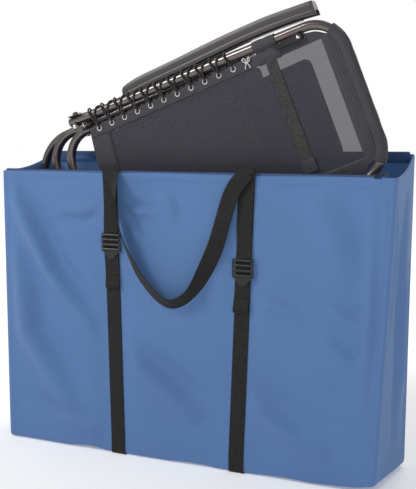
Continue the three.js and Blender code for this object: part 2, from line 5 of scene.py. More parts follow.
import bmesh
import bpy
import numpy as np
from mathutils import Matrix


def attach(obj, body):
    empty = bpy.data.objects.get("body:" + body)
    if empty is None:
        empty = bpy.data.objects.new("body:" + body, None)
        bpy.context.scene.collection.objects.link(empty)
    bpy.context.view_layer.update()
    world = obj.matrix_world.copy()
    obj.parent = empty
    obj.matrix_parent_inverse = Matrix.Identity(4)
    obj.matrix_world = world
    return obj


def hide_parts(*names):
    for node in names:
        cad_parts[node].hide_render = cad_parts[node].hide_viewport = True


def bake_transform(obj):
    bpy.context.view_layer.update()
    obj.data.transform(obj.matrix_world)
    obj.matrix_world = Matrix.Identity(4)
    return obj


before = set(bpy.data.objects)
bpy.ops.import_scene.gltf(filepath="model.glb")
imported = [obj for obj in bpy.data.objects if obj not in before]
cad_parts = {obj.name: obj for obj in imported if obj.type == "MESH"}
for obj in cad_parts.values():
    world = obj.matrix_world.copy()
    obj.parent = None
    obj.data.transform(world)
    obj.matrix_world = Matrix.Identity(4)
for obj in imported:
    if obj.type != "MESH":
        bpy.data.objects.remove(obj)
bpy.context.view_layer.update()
scene = bpy.context.scene

# ---- Driving dimensions, in millimetres. The bag's frame: +Z up, X along it, Y through it. ----
MM = 0.001
X_AXIS, Y_AXIS, Z_AXIS = (1, 0, 0), (0, 1, 0), (0, 0, 1)
HALF_X, HALF_Y = 480.0, 106.0
FRONT_HEIGHT, BACK_HEIGHT = 682.0, 718.0
PANELS = {"front": (-1, FRONT_HEIGHT), "back": (1, BACK_HEIGHT)}  # side of the bag, and height
CORNER_RADIUS = 8.0
STRAPS = {
    "left": {"top": -180, "bottom": -166, "buckle": 513, "tail": 408},
    "right": {"top": 166, "bottom": 141, "buckle": 474, "tail": 375},
}
STRAP_RISE, STRAP_LOW = 694, 40
WEBBING_WIDTH, WEBBING_THICK = 37.0, 1.6
SLIDER_X, ZIP_Y, ZIP_REACH = 455.0, -103.5, 473.0
TAPE_LOW, TAPE_HIGH = 20.0, 4.6

# ---- The chair's own frame: u along it, w through it, v across it ----
TILT = math.radians(22)
HIP = (-309.0, 0.0, 782.0)
MID_V = -192.0
TUBE = 11.0
LAYER = {"back": -40.5, "rear": -13.5, "front": 13.5, "seat": 40.5}
RAIL_V, RAIL_TAPER = 14.0, 0.045
HEAD_U, HEAD_BEND = 689.0, 76.0
HOLES, HOLE_PITCH, HOLE_U, HOLE_V, HOLE_TAPER = 11, 37.3, 59.0, -26.0, 0.016
SLING_EDGE, SLING_HIP, SEAT_END = 9.0, 33.0, 462.0
HEAD_BAND_U = 645.0
RAIL_TAB = (494.0, 549.0)
PIVOT_U = 8.0
ARM_RAIL_V, ARM_HALF = 18.6, 17.0
LEVER = {"u": 601, "v": -30, "w": -54.2, "thick": 5.6}
LACE_RADIUS = 2.2
PILLOW = {"u": (420, 598), "v": (-299, -72), "w": (-35.0, 6.5), "corner": 15, "inset": 3.0}
ENDS = ("upper", "lower")


def rail_v(u):
    return RAIL_V - RAIL_TAPER * u


FRAMES = {
    name: {"layer": LAYER[layer], "open": opening, "cross": cross, "bend": bend, "radius": radius, "body": body}
    for name, layer, opening, cross, bend, radius, body in (
        ("back_frame", "back", (-12, rail_v(-12)), HEAD_U,
         (HEAD_U - HEAD_BEND, rail_v(HEAD_U - HEAD_BEND)), HEAD_BEND, "back"),
        ("seat_frame", "seat", (462, 4), -191, (-85, 10), 106, "seat"),
        ("front_leg_frame", "front", (425, -7), -128, (-50, 4), 78, "front_leg"),
        ("rear_leg_frame", "rear", (412, -15), -66, (6, -13), 72, "rear_leg"),
    )
}

# ---- Camera ----
camera_data = bpy.data.cameras.new("camera")
camera_data.lens = 72.66
camera = bpy.data.objects.new("camera", camera_data)
camera.location = (0.981, -2.104, 0.833)
camera.rotation_euler = (math.radians(82), 0, math.radians(24.5))
scene.collection.objects.link(camera)
scene.camera = camera


# ---- Shape helpers: points are numpy arrays in millimetres ----
def unit(vectors):
    return vectors / np.maximum(np.linalg.norm(vectors, axis=-1, keepdims=True), 1e-9)


def smooth(t):
    t = np.clip(t, 0, 1)
    return t * t * (3 - 2 * t)


def points_of(x, y, z):
    """Points from their coordinates, any of which may be one number for all."""
    return np.stack(np.broadcast_arrays(*(np.asarray(k, float) for k in (x, y, z))), axis=-1)


def distance(path, power=1):
    """How far along a path each of its points is."""
    return np.concatenate([[0], np.cumsum(np.linalg.norm(np.diff(path, axis=0), axis=1) ** power)])


def from_chair(points):
    """The chair's own frame to the bag's."""
    points = np.asarray(points, float)
    u, w, v = points[..., 0], points[..., 1], points[..., 2]
    cos, sin = math.cos(TILT), math.sin(TILT)
    return np.stack([HIP[0] + u * cos - v * sin, w + HIP[1], HIP[2] + u * sin + v * cos], axis=-1)


def other_side(points):
    """Points of the chair mirrored about its centre line."""
    points = np.array(points, float)
    points[..., 2] = 2 * MID_V - points[..., 2]
    return points


def both_sides(half):
    """A line from one side of the chair, carried on as its mirror image."""
    return np.concatenate([half, other_side(half)[::-1]])


def to_bag(points, end):
    """Points of the chair's upper side in the bag's frame, mirrored for the lower end."""
    return from_chair(points if end == "upper" else other_side(points))


def grid_faces(rows, columns, around=False, caps=False):
    faces = []
    for i in range(rows - 1):
        for j in range(columns if around else columns - 1):
            k = (j + 1) % columns
            faces.append((i * columns + j, i * columns + k, (i + 1) * columns + k, (i + 1) * columns + j))
    if caps:
        last = (rows - 1) * columns
        faces += [tuple(range(columns)), tuple(range(last, last + columns))]
    return faces


def cloth_grid(rows, uv=None, around=False):
    """An open surface through rows of the chair's points."""
    rows = np.asarray(rows, float)
    return rows.reshape(-1, 3), grid_faces(*rows.shape[:2], around), rows[..., [0, 2]] if uv is None else uv


def dense(points, step):
    """The same polyline with points no further apart than step."""
    points = np.asarray(points, float)
    out = [points[0]]
    for a, b in zip(points, points[1:]):
        count = max(1, math.ceil(np.linalg.norm(b - a) / step))
        out += [a + (b - a) * i / count for i in range(1, count + 1)]
    return np.array(out)


def spline(points, count):
    """A smooth curve through the points, as count points."""
    points = np.asarray(points, float)
    knots = distance(points, 0.5)
    slopes = np.gradient(points, knots, axis=0)
    out = []
    for t in np.linspace(0, knots[-1], count):
        i = min(np.searchsorted(knots, t, side="right") - 1, len(points) - 2)
        h = knots[i + 1] - knots[i]
        s = (t - knots[i]) / h
        a, b = (1 + 2 * s) * (1 - s) ** 2, s * s * (3 - 2 * s)
        c, d = s * (1 - s) ** 2 * h, s * s * (s - 1) * h
        out.append(a * points[i] + b * points[i + 1] + c * slopes[i] + d * slopes[i + 1])
    return np.array(out)


def circle(radius, sides=20):
    turns = np.linspace(0, 2 * math.pi, sides, endpoint=False)
    return np.stack([radius * np.cos(turns), radius * np.sin(turns)], axis=-1)


def arc(centre, radius, start, end, steps=8):
    turns = np.radians(np.linspace(start, end, steps + 1))
    return [(centre[0] + radius * math.cos(t), centre[1] + radius * math.sin(t)) for t in turns]


def rounded_rectangle(width, thick, radius, steps=3, across=5):
    """A closed profile with rounded corners, and extra points along its long faces."""
    x, y = width / 2 - radius, thick / 2 - radius
    out = []
    for cx, cy, start in ((x, -y, -90), (x, y, 0), (-x, y, 90), (-x, -y, 180)):
        out += arc((cx, cy), radius, start, start + 90, steps)
        if start in (0, 180):
            sign = 1 if start == 0 else -1
            out += [(sign * x * (1 - 2 * i / across), cy + sign * radius) for i in range(1, across)]
    return np.array(out)


def carried(path):
    """A direction at each point of a path that turns as little as it can."""
    tangents = unit(np.gradient(path, axis=0))
    out = [np.cross(tangents[0], (0.3, 0.5, 0.8))]
    for tangent in tangents[1:]:
        out.append(unit(out[-1] - np.dot(out[-1], tangent) * tangent))
    return np.array(out)


def sweep(path, profile, across=None, scale=None):
    """A profile carried along a path: its points, faces and (length, width) coordinates."""
    path, profile = np.asarray(path, float), np.asarray(profile, float)
    across = carried(path) if across is None else np.broadcast_to(np.asarray(across, float), path.shape)
    tangent = unit(np.gradient(path, axis=0))
    side = unit(across - np.sum(across * tangent, axis=-1, keepdims=True) * tangent)
    up = np.cross(tangent, side)
    grow = (np.ones(len(path)) if scale is None else np.asarray(scale, float))[:, None, None]
    spread = side[:, None] * profile[None, :, :1] + up[:, None] * profile[None, :, 1:]
    rows = path[:, None] + grow * spread
    uv = np.stack(np.broadcast_arrays(distance(path)[:, None], profile[:, 0]), axis=-1)
    faces = grid_faces(len(path), len(profile), around=True, caps=True)
    return rows.reshape(-1, 3), faces, uv.reshape(-1, 2)


def tube(path, radius, sides=20):
    """A round bar with slightly rounded ends."""
    path = np.asarray(path, float)
    lip = min(1.5, radius / 3)
    first, last = unit(path[1] - path[0]) * lip, unit(path[-2] - path[-1]) * lip
    path = np.concatenate([[path[0], path[0] + first], path[1:-1], [path[-1] + last, path[-1]]])
    scale = np.ones(len(path))
    scale[0] = scale[-1] = 1 - lip / radius
    return sweep(path, circle(radius, sides), scale=scale)


def turned(profile, centre, axis, segments=24, hollow=False):
    """A body of revolution from (radius, height) pairs. A hollow one is a ring with a closed profile."""
    axis = unit(np.array(axis, float))
    side = unit(np.cross(axis, (0.31, 0.57, 0.76)))
    front = np.cross(axis, side)
    turns = np.linspace(0, 2 * math.pi, segments, endpoint=False)[None, :, None]
    radii, heights = (np.array(column, float)[:, None, None] for column in zip(*profile))
    points = np.asarray(centre, float) + heights * axis
    points = (points + radii * (np.cos(turns) * side + np.sin(turns) * front)).reshape(-1, 3)
    faces = grid_faces(len(profile), segments, around=True, caps=not hollow)
    if hollow:
        last = (len(profile) - 1) * segments
        faces += [(last + j, last + (j + 1) % segments, (j + 1) % segments, j) for j in range(segments)]
    return points, faces, np.zeros((len(points), 2))


def prism(outline, low, high, place=lambda a, b, depth: (a, depth, b)):
    """A plate: an outline in two coordinates between two depths. place(a, b, depth) gives its points."""
    count = len(outline)
    points = [place(a, b, depth) for depth in (low, high) for a, b in outline]
    faces = [tuple(range(count)), tuple(range(count, 2 * count))]
    faces += [(i, (i + 1) % count, count + (i + 1) % count, count + i) for i in range(count)]
    return np.array(points, float), faces, np.array([*outline, *outline], float)


def joined(parts):
    points, faces, uvs, count = [], [], [], 0
    for part_points, part_faces, part_uv in parts:
        points.append(part_points)
        uvs.append(part_uv)
        faces += [tuple(i + count for i in face) for face in part_faces]
        count += len(part_points)
    return np.concatenate(points), faces, np.concatenate(uvs)


def add_modifier(made, name, kind, **settings):
    modifier = made.modifiers.new(name, kind)
    for key, value in settings.items():
        setattr(modifier, key, value)
    return modifier


def piece(name, shape, look, body, replaces=(), end=None, crease=None, thick=None, bevel=None):
    """Makes one piece from (points, faces, uv) and puts it on its CAD body.

    The points are in the bag's frame, or in the chair's if the piece is at one of the chair's ends.
    """
    points, faces, uv = shape
    material, look_slot, look_crease = LOOK[look]
    if end:
        points = to_bag(points, end)
    mesh = bpy.data.meshes.new(name)
    mesh.from_pydata((points * MM).tolist(), [], faces)
    work = bmesh.new()
    work.from_mesh(mesh)
    bmesh.ops.recalc_face_normals(work, faces=work.faces)
    work.to_mesh(mesh)
    work.free()
    corners = np.zeros(len(mesh.loops), int)
    mesh.loops.foreach_get("vertex_index", corners)
    layer = mesh.uv_layers.new(name="surface")
    layer.data.foreach_set("uv", (np.asarray(uv, float).reshape(-1, 2)[corners] * MM).ravel())
    mesh.shade_smooth()
    mesh.set_sharp_from_angle(angle=math.radians(crease or look_crease))
    mesh.materials.append(material)
    made = bpy.data.objects.new(name, mesh)
    scene.collection.objects.link(made)
    if thick:
        add_modifier(made, "cloth", "SOLIDIFY", thickness=abs(thick) * MM, offset=math.copysign(1, thick))
    if bevel:
        add_modifier(made, "rounding", "BEVEL", width=bevel * MM, segments=3, limit_method="ANGLE",
                     harden_normals=True)
    if body:
        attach(made, body)
    if replaces:
        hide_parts(*replaces)
    return made


def stitches(lines, pitch=4.6, length=3.1, radius=0.42):
    """Rows of sewn stitches along lines of points, as one shape."""
    parts = []
    for line in lines:
        line = np.asarray(line, float)
        along = distance(line)
        for start in np.arange(pitch / 2, along[-1] - length, pitch):
            stops = start + length * np.array([0, 0.15, 0.85, 1])
            path = np.stack([np.interp(stops, along, line[:, k]) for k in range(3)], axis=-1)
            parts.append(sweep(path, circle(radius, 6), scale=[0.3, 1, 1, 0.3]))
    return joined(parts)


def crossed_box(corners):
    """The sides of a box and its two diagonals, as lines of points."""
    sides = zip(corners, corners[1:] + corners[:1])
    return [dense(line, 4) for line in [*sides, (corners[0], corners[2]), (corners[1], corners[3])]]


# ---- Materials ----
def node(tree, kind, inputs=None, **settings):
    made = tree.nodes.new("ShaderNode" + kind)
    for key, value in settings.items():
        setattr(made, key, value)
    for key, value in (inputs or {}).items():
        if isinstance(value, bpy.types.NodeSocket):
            tree.links.new(value, made.inputs[key])
        else:
            made.inputs[key].default_value = value
    return made


def math_node(tree, operation, a, b=0.0, c=0.0):
    return node(tree, "Math", {0: a, 1: b, 2: c}, operation=operation).outputs[0]


def noise(tree, coordinates, scale, detail):
    return node(tree, "TexNoise", {"Vector": coordinates, "Scale": scale, "Detail": detail}).outputs["Fac"]


def remap(tree, value, low, high, start=0.0, end=1.0):
    ends = {"From Min": start, "From Max": end, "To Min": low, "To Max": high}
    return node(tree, "MapRange", {"Value": value, **ends}).outputs[0]


def scaled(tree, colour, factor):
    return node(tree, "VectorMath", {0: colour, "Scale": factor}, operation="SCALE").outputs[0]


def wave(tree, value, period):
    return math_node(tree, "SINE", math_node(tree, "MULTIPLY", value, 2 * math.pi / period))


def coordinate(tree, kind):
    return node(tree, "TexCoord").outputs[kind]


def linear(*srgb):
    """Red, green and blue from 0 to 255 as the renderer's linear colour."""
    parts = [value / 255 for value in srgb]
    return (*[p / 12.92 if p <= 0.04045 else ((p + 0.055) / 1.055) ** 2.4 for p in parts], 1)


def surface(name, sockets):
    made = bpy.data.materials.new(name)
    made.use_nodes = True
    shader = made.node_tree.nodes["Principled BSDF"]
    for key, value in sockets.items():
        shader.inputs[key].default_value = value
    return made, made.node_tree, shader


def clouded(tree, shader, colour, amount, scale):
    """The base colour, a little lighter and darker in soft patches."""
    cloud = noise(tree, coordinate(tree, "Object"), scale, 5.0)
    tint = scaled(tree, colour[:3], remap(tree, cloud, 1 - amount, 1 + amount, 0.3, 0.7))
    tree.links.new(tint, shader.inputs["Base Color"])
    return tint


def bumped(tree, shader, height, strength, depth):
    bump = node(tree, "Bump", {"Height": height, "Strength": strength, "Distance": depth})
    tree.links.new(bump.outputs[0], shader.inputs["Normal"])


def weave(tree, coordinates, thread):
    """Plain weave: two sets of threads, in metres, that cross over and under each other."""
    parts = node(tree, "SeparateXYZ", {0: coordinates})
    across, along = (wave(tree, parts.outputs[k], 2 * thread) for k in (0, 1))
    return math_node(tree, "MULTIPLY_ADD", math_node(tree, "MULTIPLY", across, along), 0.5, 0.5)


def cloth_look(name, colour, thread=0.0014, roughness=0.72, sheen=0.12, amount=0.05, bump=0.25,
               alpha=None, glow=0.0):
    made, tree, shader = surface(name, {"Roughness": roughness, "Sheen Weight": sheen, "Sheen Roughness": 0.5})
    threads = weave(tree, coordinate(tree, "UV"), thread)
    tint = clouded(tree, shader, colour, amount, 6.0)
    bumped(tree, shader, threads, bump, 0.0004)
    if glow:  # painted light: the cloth glows in its own colour, which brightens it most where it lies in shade
        tree.links.new(tint, shader.inputs["Emission Color"])
        shader.inputs["Emission Strength"].default_value = glow
    if alpha:  # the holes of an open weave
        tree.links.new(remap(tree, threads, *alpha), shader.inputs["Alpha"])
    return made


def webbing_look(name, colour):
    """Tape with a fine rib across its length and cords along it."""
    made, tree, shader = surface(name, {"Roughness": 0.7, "Specular IOR Level": 0.2, "Sheen Weight": 0.06})
    parts = node(tree, "SeparateXYZ", {0: coordinate(tree, "UV")})
    rib, cord = wave(tree, parts.outputs[0], 0.006), wave(tree, parts.outputs[1], 0.0031)
    height = math_node(tree, "MULTIPLY_ADD", rib, 0.6, math_node(tree, "MULTIPLY", cord, 0.4))
    tint = clouded(tree, shader, colour, 0.34, 210.0)
    # Painted shade and highlight: the colour is darker in the grooves of the rib and cords and lighter on their
    # crests.
    painted_rib_shade = scaled(tree, tint, remap(tree, height, 0.55, 1.6, -1.0))
    tree.links.new(painted_rib_shade, shader.inputs["Base Color"])
    bumped(tree, shader, height, 0.5, 0.0005)
    return made


def plastic_look(name, colour, roughness, grain=900.0):
    made, tree, shader = surface(name, {"Roughness": roughness, "Specular IOR Level": 0.45})
    clouded(tree, shader, colour, 0.06, 20.0)
    bumped(tree, shader, noise(tree, coordinate(tree, "Object"), grain, 2.0), 0.3, 0.0004)
    return made


def metal_look(name, colour, roughness, metallic, coat=0.0, bump=0.12):
    sockets = {"Roughness": roughness, "Metallic": metallic, "Coat Weight": coat, "Coat Roughness": 0.2}
    made, tree, shader = surface(name, sockets)
    clouded(tree, shader, colour, 0.1, 60.0)
    bumped(tree, shader, noise(tree, coordinate(tree, "Object"), 320.0, 4.0), bump, 0.0006)
    return made


def cord_look(name, colour):
    """Braided cord: two sets of diagonal strands."""
    made, tree, shader = surface(name, {"Roughness": 0.7, "Sheen Weight": 0.2})
    diagonal = node(tree, "Mapping", {"Vector": coordinate(tree, "UV"), "Rotation": (0, 0, math.radians(45))})
    clouded(tree, shader, colour, 0.2, 40.0)
    bumped(tree, shader, weave(tree, diagonal.outputs[0], 0.0011), 0.6, 0.0005)
    return made


# Each look: its maker, colour and settings, the CAD slot it stands for, and its sharp angle in degrees.
LOOK = {
    name: (make(f"{name}_look", linear(*colour), **settings), slot, crease)
    for name, make, colour, settings, slot, crease in (
        # The bag cloth's glow is painted light: it brightens the cloth where it lies in shade.
        ("bag_cloth", cloth_look, (70, 103, 149),
         {"thread": 0.0011, "amount": 0.03, "sheen": 0.05, "glow": 0.2}, "bag_cloth", 60),
        ("bag_thread", cloth_look, (66, 104, 160), {"thread": 0.0004}, "bag_cloth", 38),
        ("zip_tape", cloth_look, (52, 84, 132), {"thread": 0.0008}, "zip_tape", 38),
        ("zip_teeth", plastic_look, (34, 36, 42), {"roughness": 0.4}, "zip_tape", 38),
        ("webbing", webbing_look, (29, 29, 28), {}, "webbing", 60),
        ("black_plastic", plastic_look, (30, 30, 32), {"roughness": 0.34}, "black_plastic", 38),
        ("arm_plastic", plastic_look, (69, 65, 68), {"roughness": 0.38, "grain": 700.0}, "arm_plastic", 40),
        ("bronze_tube", metal_look, (104, 97, 95),
         {"roughness": 0.26, "metallic": 0.85, "coat": 0.2}, "tube", 50),
        ("steel", metal_look, (214, 210, 206),
         {"roughness": 0.22, "metallic": 1.0, "bump": 0.05}, "steel", 38),
        ("sling", cloth_look, (52, 51, 62),
         {"roughness": 0.68, "alpha": (0.59, 0.65), "bump": 0.03}, "sling", 60),
        # The seat sling: the same cloth as the back sling, its colour darker as painted shade, since it lies
        # behind it.
        ("sling_seat", cloth_look, (48, 47, 57),
         {"roughness": 0.7, "alpha": (0.84, 0.88), "bump": 0.03}, "sling", 60),
        ("hem", cloth_look, (46, 44, 52), {"roughness": 0.7, "bump": 0.08}, "sling", 60),
        ("sleeve", cloth_look, (51, 49, 57), {"bump": 0.1}, "sling", 60),
        ("dark_thread", cloth_look, (98, 96, 104), {"thread": 0.0004}, "sling", 38),
        ("pillow", cloth_look, (52, 51, 60), {"roughness": 0.75, "bump": 0.0}, "pillow", 70),
        ("lace", cord_look, (18, 18, 20), {}, "lace", 60),
        ("bow", cord_look, (196, 194, 190), {}, "lace", 38),
        ("elastic", webbing_look, (54, 53, 51), {}, "elastic", 60),
    )
}


# ---- The bag's skin ----
# How far each corner of the soft bag lies from the plain box: x, y, z at its top and at its bottom.
CORNER_SHIFT = {
    ("left", "front"): ((-4, -3, -6), (-4, -3, 0)),
    ("right", "front"): ((18, 2, 4), (-16, 1, 12)),
    ("left", "back"): ((9, 6, -8), (2, 2, 3)),
    ("right", "back"): ((4, 1, 8), (2, -4, 4)),
}
# Soft folds of each face: points across it and up it, half width and height.
FOLDS = {
    "front": [
        ([(-478, 668), (-410, 560), (-345, 440), (-262, 345), (-205, 290)], 26, 6.0),
        ([(-470, 520), (-430, 400), (-415, 280), (-330, 160), (-262, 70)], 34, 5.0),
        ([(-150, 275), (-90, 215), (-20, 170), (60, 112)], 30, 5.5),
        ([(120, 230), (185, 160), (300, 95), (380, 78)], 34, 5.0),
        ([(300, 640), (352, 560), (390, 440)], 42, 3.0),
        ([(432, 640), (438, 520), (441, 380), (436, 250)], 14, 2.4),
        ([(466, 600), (452, 420), (448, 300), (438, 160)], 13, 2.2),
        ([(340, 330), (385, 296), (440, 262)], 17, 2.6),
        ([(352, 396), (395, 376), (445, 356)], 15, 2.2),
        ([(-158, 618), (-120, 596), (-60, 585)], 10, 3.0),
        ([(-156, 592), (-128, 560), (-108, 520)], 9, 2.6),
        ([(-206, 600), (-250, 588), (-330, 592)], 14, 2.6),
        ([(-60, 640), (-30, 610), (-12, 570)], 16, 1.8),
        ([(180, 400), (240, 392), (300, 372)], 18, 2.2),
        ([(-440, 90), (-330, 60), (-200, 52)], 22, 2.6),
    ],
    "back": [
        ([(-470, 640), (-380, 500), (-300, 330), (-240, 210)], 30, 5.5),
        ([(460, 650), (400, 520), (330, 330), (250, 240)], 28, 6.0),
        ([(-120, 300), (-20, 220), (90, 150)], 34, 4.5),
        ([(300, 200), (380, 120), (450, 80)], 26, 4.0),
        ([(-420, 200), (-350, 120), (-240, 80)], 24, 3.6),
    ],
    "left": [
        ([(0, 640), (-8, 420), (6, 200), (0, 60)], 26, -9.0),
        ([(-70, 560), (-40, 380), (-60, 160)], 20, 4.0),
    ],
    "right": [
        ([(6, 660), (-10, 470), (8, 240), (0, 60)], 24, -8.0),
        ([(-84, 640), (-62, 520), (-70, 300)], 14, 3.6),
        ([(60, 560), (40, 360), (66, 140)], 22, 4.0),
    ],
}
SEEDS = {"front": 3, "back": 11, "left": 23, "right": 31}


def ripple(a, z, seed, reach):
    """Slow random waves between -1 and 1."""
    draw = np.random.default_rng(seed)
    total = np.zeros(np.shape(a))
    for _ in range(7):
        turn, phase, pace = draw.uniform(0, 2 * math.pi), draw.uniform(0, 2 * math.pi), draw.uniform(0.6, 1.7)
        total = total + np.sin(pace * (math.cos(turn) * a + math.sin(turn) * z) / reach + phase)
    return total / 4


def fold(a, z, line, width, height):
    """A ridge along a line with a shallow valley beside it, fading out at both ends."""
    line = dense(line, 12)
    rise = np.zeros(np.shape(a))
    nearest = np.full(np.shape(a), 1e9)
    for i, (start, end) in enumerate(zip(line, line[1:])):
        step = end - start
        length = np.hypot(*step)
        s = np.clip(((a - start[0]) * step[0] + (z - start[1]) * step[1]) / length**2, 0, 1)
        da, dz = a - start[0] - s * step[0], z - start[1] - s * step[1]
        far = np.hypot(da, dz)
        side = np.sign(da * step[1] - dz * step[0])
        d = far * side / width
        fade = np.sin(math.pi * np.clip((i + s) / (len(line) - 1), 0, 1)) ** 0.8
        here = height * fade * (np.exp(-d * d) - 0.55 * np.exp(-((d + 1.7) ** 2)))
        closer = far < nearest
        rise, nearest = np.where(closer, here, rise), np.minimum(far, nearest)
    return rise


def strap_x(side, z):
    strap = STRAPS[side]
    lean = np.clip((z - STRAP_LOW) / (STRAP_RISE - STRAP_LOW), 0, 1.2)
    return strap["bottom"] + (strap["top"] - strap["bottom"]) * lean


def bulge(face, a, z):
    """How far the cloth stands out from a flat face, a across it and z up it."""
    long_face = face in PANELS
    half = HALF_X if long_face else HALF_Y
    top = PANELS[face][1] if long_face else FRONT_HEIGHT
    rise = 2.4 * ripple(a, z * 0.7, SEEDS[face], 62) + 3.0 * ripple(a, z, SEEDS[face] + 1, 130)
    depth = 4.0 if long_face else 1.4
    for line, width, height in FOLDS[face]:
        rise = rise + depth * fold(a, z, line, 0.85 * width, height)
    if long_face:
        rise = rise + 5 * np.cos(math.pi * a / 2 / half) * np.sin(math.pi * np.clip(z / top, 0, 1))
        for side in STRAPS:
            beside = np.abs(a - strap_x(side, z)) - WEBBING_WIDTH / 2
            rise = rise * smooth((beside - 5) / 44)
    edge = smooth((half - 6 - np.abs(a)) / (44 if long_face else 24))
    lips = 0.25 + 0.75 * smooth((top - z) / 50)
    return rise * edge * lips * smooth((z + 8) / 30)


def settled(points):
    """Moves points of the plain box with its shifted corners, and lifts the ends of its underside."""
    x, y, z = points[..., 0], points[..., 1], points[..., 2]
    tx = np.clip((x + HALF_X) / (2 * HALF_X), 0, 1)
    ty = np.clip((y + HALF_Y) / (2 * HALF_Y), 0, 1)
    tz = np.clip(z / 700, 0, 1.05)
    shift = np.zeros(points.shape)
    for (end, face), (high, low) in CORNER_SHIFT.items():
        weight = (tx if end == "right" else 1 - tx) * (ty if face == "back" else 1 - ty)
        low_weight = (1 - tz) * (2 * np.abs(tx - 0.5)) ** 5
        flat = np.array([1, 1, 0])
        shift = shift + weight[..., None] * (tz[..., None] * np.array(high) + (1 - tz)[..., None] * flat * low)
        shift[..., 2] += weight * low_weight * low[2]
    return points + shift


def gusset_top(y):
    """The top edge of the ends, which falls from the back panel to the front lip in a soft S."""
    t = np.linspace(0, 1, 40)
    corners = [(HALF_Y, BACK_HEIGHT), (HALF_Y * 0.5, BACK_HEIGHT - 8), (HALF_Y * 0.25, FRONT_HEIGHT),
               (-HALF_Y, FRONT_HEIGHT)]
    weights = [(1 - t) ** 3, 3 * t * (1 - t) ** 2, 3 * t * t * (1 - t), t**3]
    ys, zs = (sum(w * c[k] for w, c in zip(weights, corners)) for k in (0, 1))
    return np.interp(y, ys[::-1], zs[::-1])


def on_panel(face, x, z, lift):
    """Points on the outside of the front or back panel, lifted off it."""
    sign = PANELS[face][0]
    points = points_of(x, sign * HALF_Y, z)
    out = bulge(face, points[..., 0], points[..., 2]) + lift
    points[..., 1] = settled(points)[..., 1] + sign * out
    return points


def ring():
    """The bag seen from above: place, outward direction, face, and place across the face of each column."""
    columns = []
    near = np.array([0, 3.5, 8, 14])
    for k, (face, count) in enumerate((("front", 130), ("right", 26), ("back", 110), ("left", 26))):
        x_sign, y_sign = (1 if k < 2 else -1), (1 if k in (1, 2) else -1)
        long_face = face in PANELS
        half = (HALF_X if long_face else HALF_Y) - CORNER_RADIUS
        span = 2 * half
        for stop in np.concatenate([near, np.linspace(14, span - 14, count)[1:-1], span - near[::-1]]):
            a = x_sign * (stop - half)
            if long_face:
                columns.append(((a, y_sign * HALF_Y), (0, y_sign), face, a))
            else:
                columns.append(((x_sign * HALF_X, a), (x_sign, 0), face, a))
        cx, cy = x_sign * (HALF_X - CORNER_RADIUS), y_sign * (HALF_Y - CORNER_RADIUS)
        for n in arc((0, 0), 1, 90 * k - 67.5, 90 * k - 22.5, 2):
            end = "right" if x_sign > 0 else "left"
            columns.append(((cx + CORNER_RADIUS * n[0], cy + CORNER_RADIUS * n[1]), n, end, y_sign * HALF_Y))
    return columns


BASE = 1.9
LEVELS = 96
UNDERSIDE = (0.6, 0.3, 0.14, 0.08)  # how far in each ring of the bottom is
FOOT_CURVE = ((0.9, 4), (3, 1.6), (7, 0.4))  # height over the base, and inset
RIM = ((0.6, 0.5), (0, 1.7), (0.6, 2.9), (5, 3.5), (21, 3.7))  # drop from the top edge, and inset


def bag_shell():
    columns = ring()
    place, normal, faces_of, across = (np.array(column) for column in zip(*columns))
    x, y = place[:, 0], place[:, 1]
    top = gusset_top(y)
    top = top + np.where(np.abs(x) < HALF_X - 20, 1.4 * ripple(x, y, 7, 55), 0)
    clear = np.min([np.abs(x - strap["bottom"]) for strap in STRAPS.values()], axis=0)
    sag = 5.5 * np.clip(ripple(x, y, 19, 48) + 0.25, 0, 1) * smooth((clear - 20) / 50)

    def level(z, inset=0.0, shrink=0.0):
        flat = np.array([1 - shrink * HALF_Y / HALF_X, 1 - shrink])
        z = np.broadcast_to(z, top.shape).astype(float)
        out = np.zeros(z.shape)
        for face in FOLDS:
            mine = faces_of == face
            out[mine] = bulge(face, across[mine], z[mine])
        xy = place * flat + normal * (out - inset)[:, None]
        z = z + sag * smooth((50 - z) / 50) * (shrink < 0.2)
        return settled(np.concatenate([xy, z[:, None]], axis=1))

    rows = [level(BASE, shrink=shrink) for shrink in UNDERSIDE]
    rows += [level(BASE + rise, inset) for rise, inset in FOOT_CURVE]
    rows += [level(14 + (top - 16) * t) for t in np.linspace(0, 1, LEVELS)]
    rows += [level(top - drop, inset) for drop, inset in RIM]
    rows = np.array(rows)
    faces = grid_faces(len(rows), len(columns), around=True) + [tuple(range(len(columns)))]
    uv = np.stack(np.broadcast_arrays(distance(place), rows[..., 2]), axis=-1)
    panels = ("front_panel", "back_panel", "bottom_panel", "left_gusset", "right_gusset")
    piece("bag_shell", (rows.reshape(-1, 3), faces, uv), "bag_cloth", "bag", panels, thick=-1.3)


def bag_stitching():
    x = np.linspace(-HALF_X + 14, HALF_X - 14, 160)
    lines = [on_panel(face, x, height - 17, 0.1) for face, (_, height) in PANELS.items()]
    z = np.linspace(24, FRONT_HEIGHT - 22, 120)
    for face, (sign, _) in PANELS.items():
        for edge in (-HALF_X + 15, HALF_X - 15):
            line = on_panel(face, edge, z, 0.1)
            line[:, 0] = settled(points_of(edge, sign * HALF_Y, z))[:, 0]
            lines.append(line)
    piece("bag_stitching", stitches(lines, 4.8, 3.2, 0.38), "bag_thread", "bag")


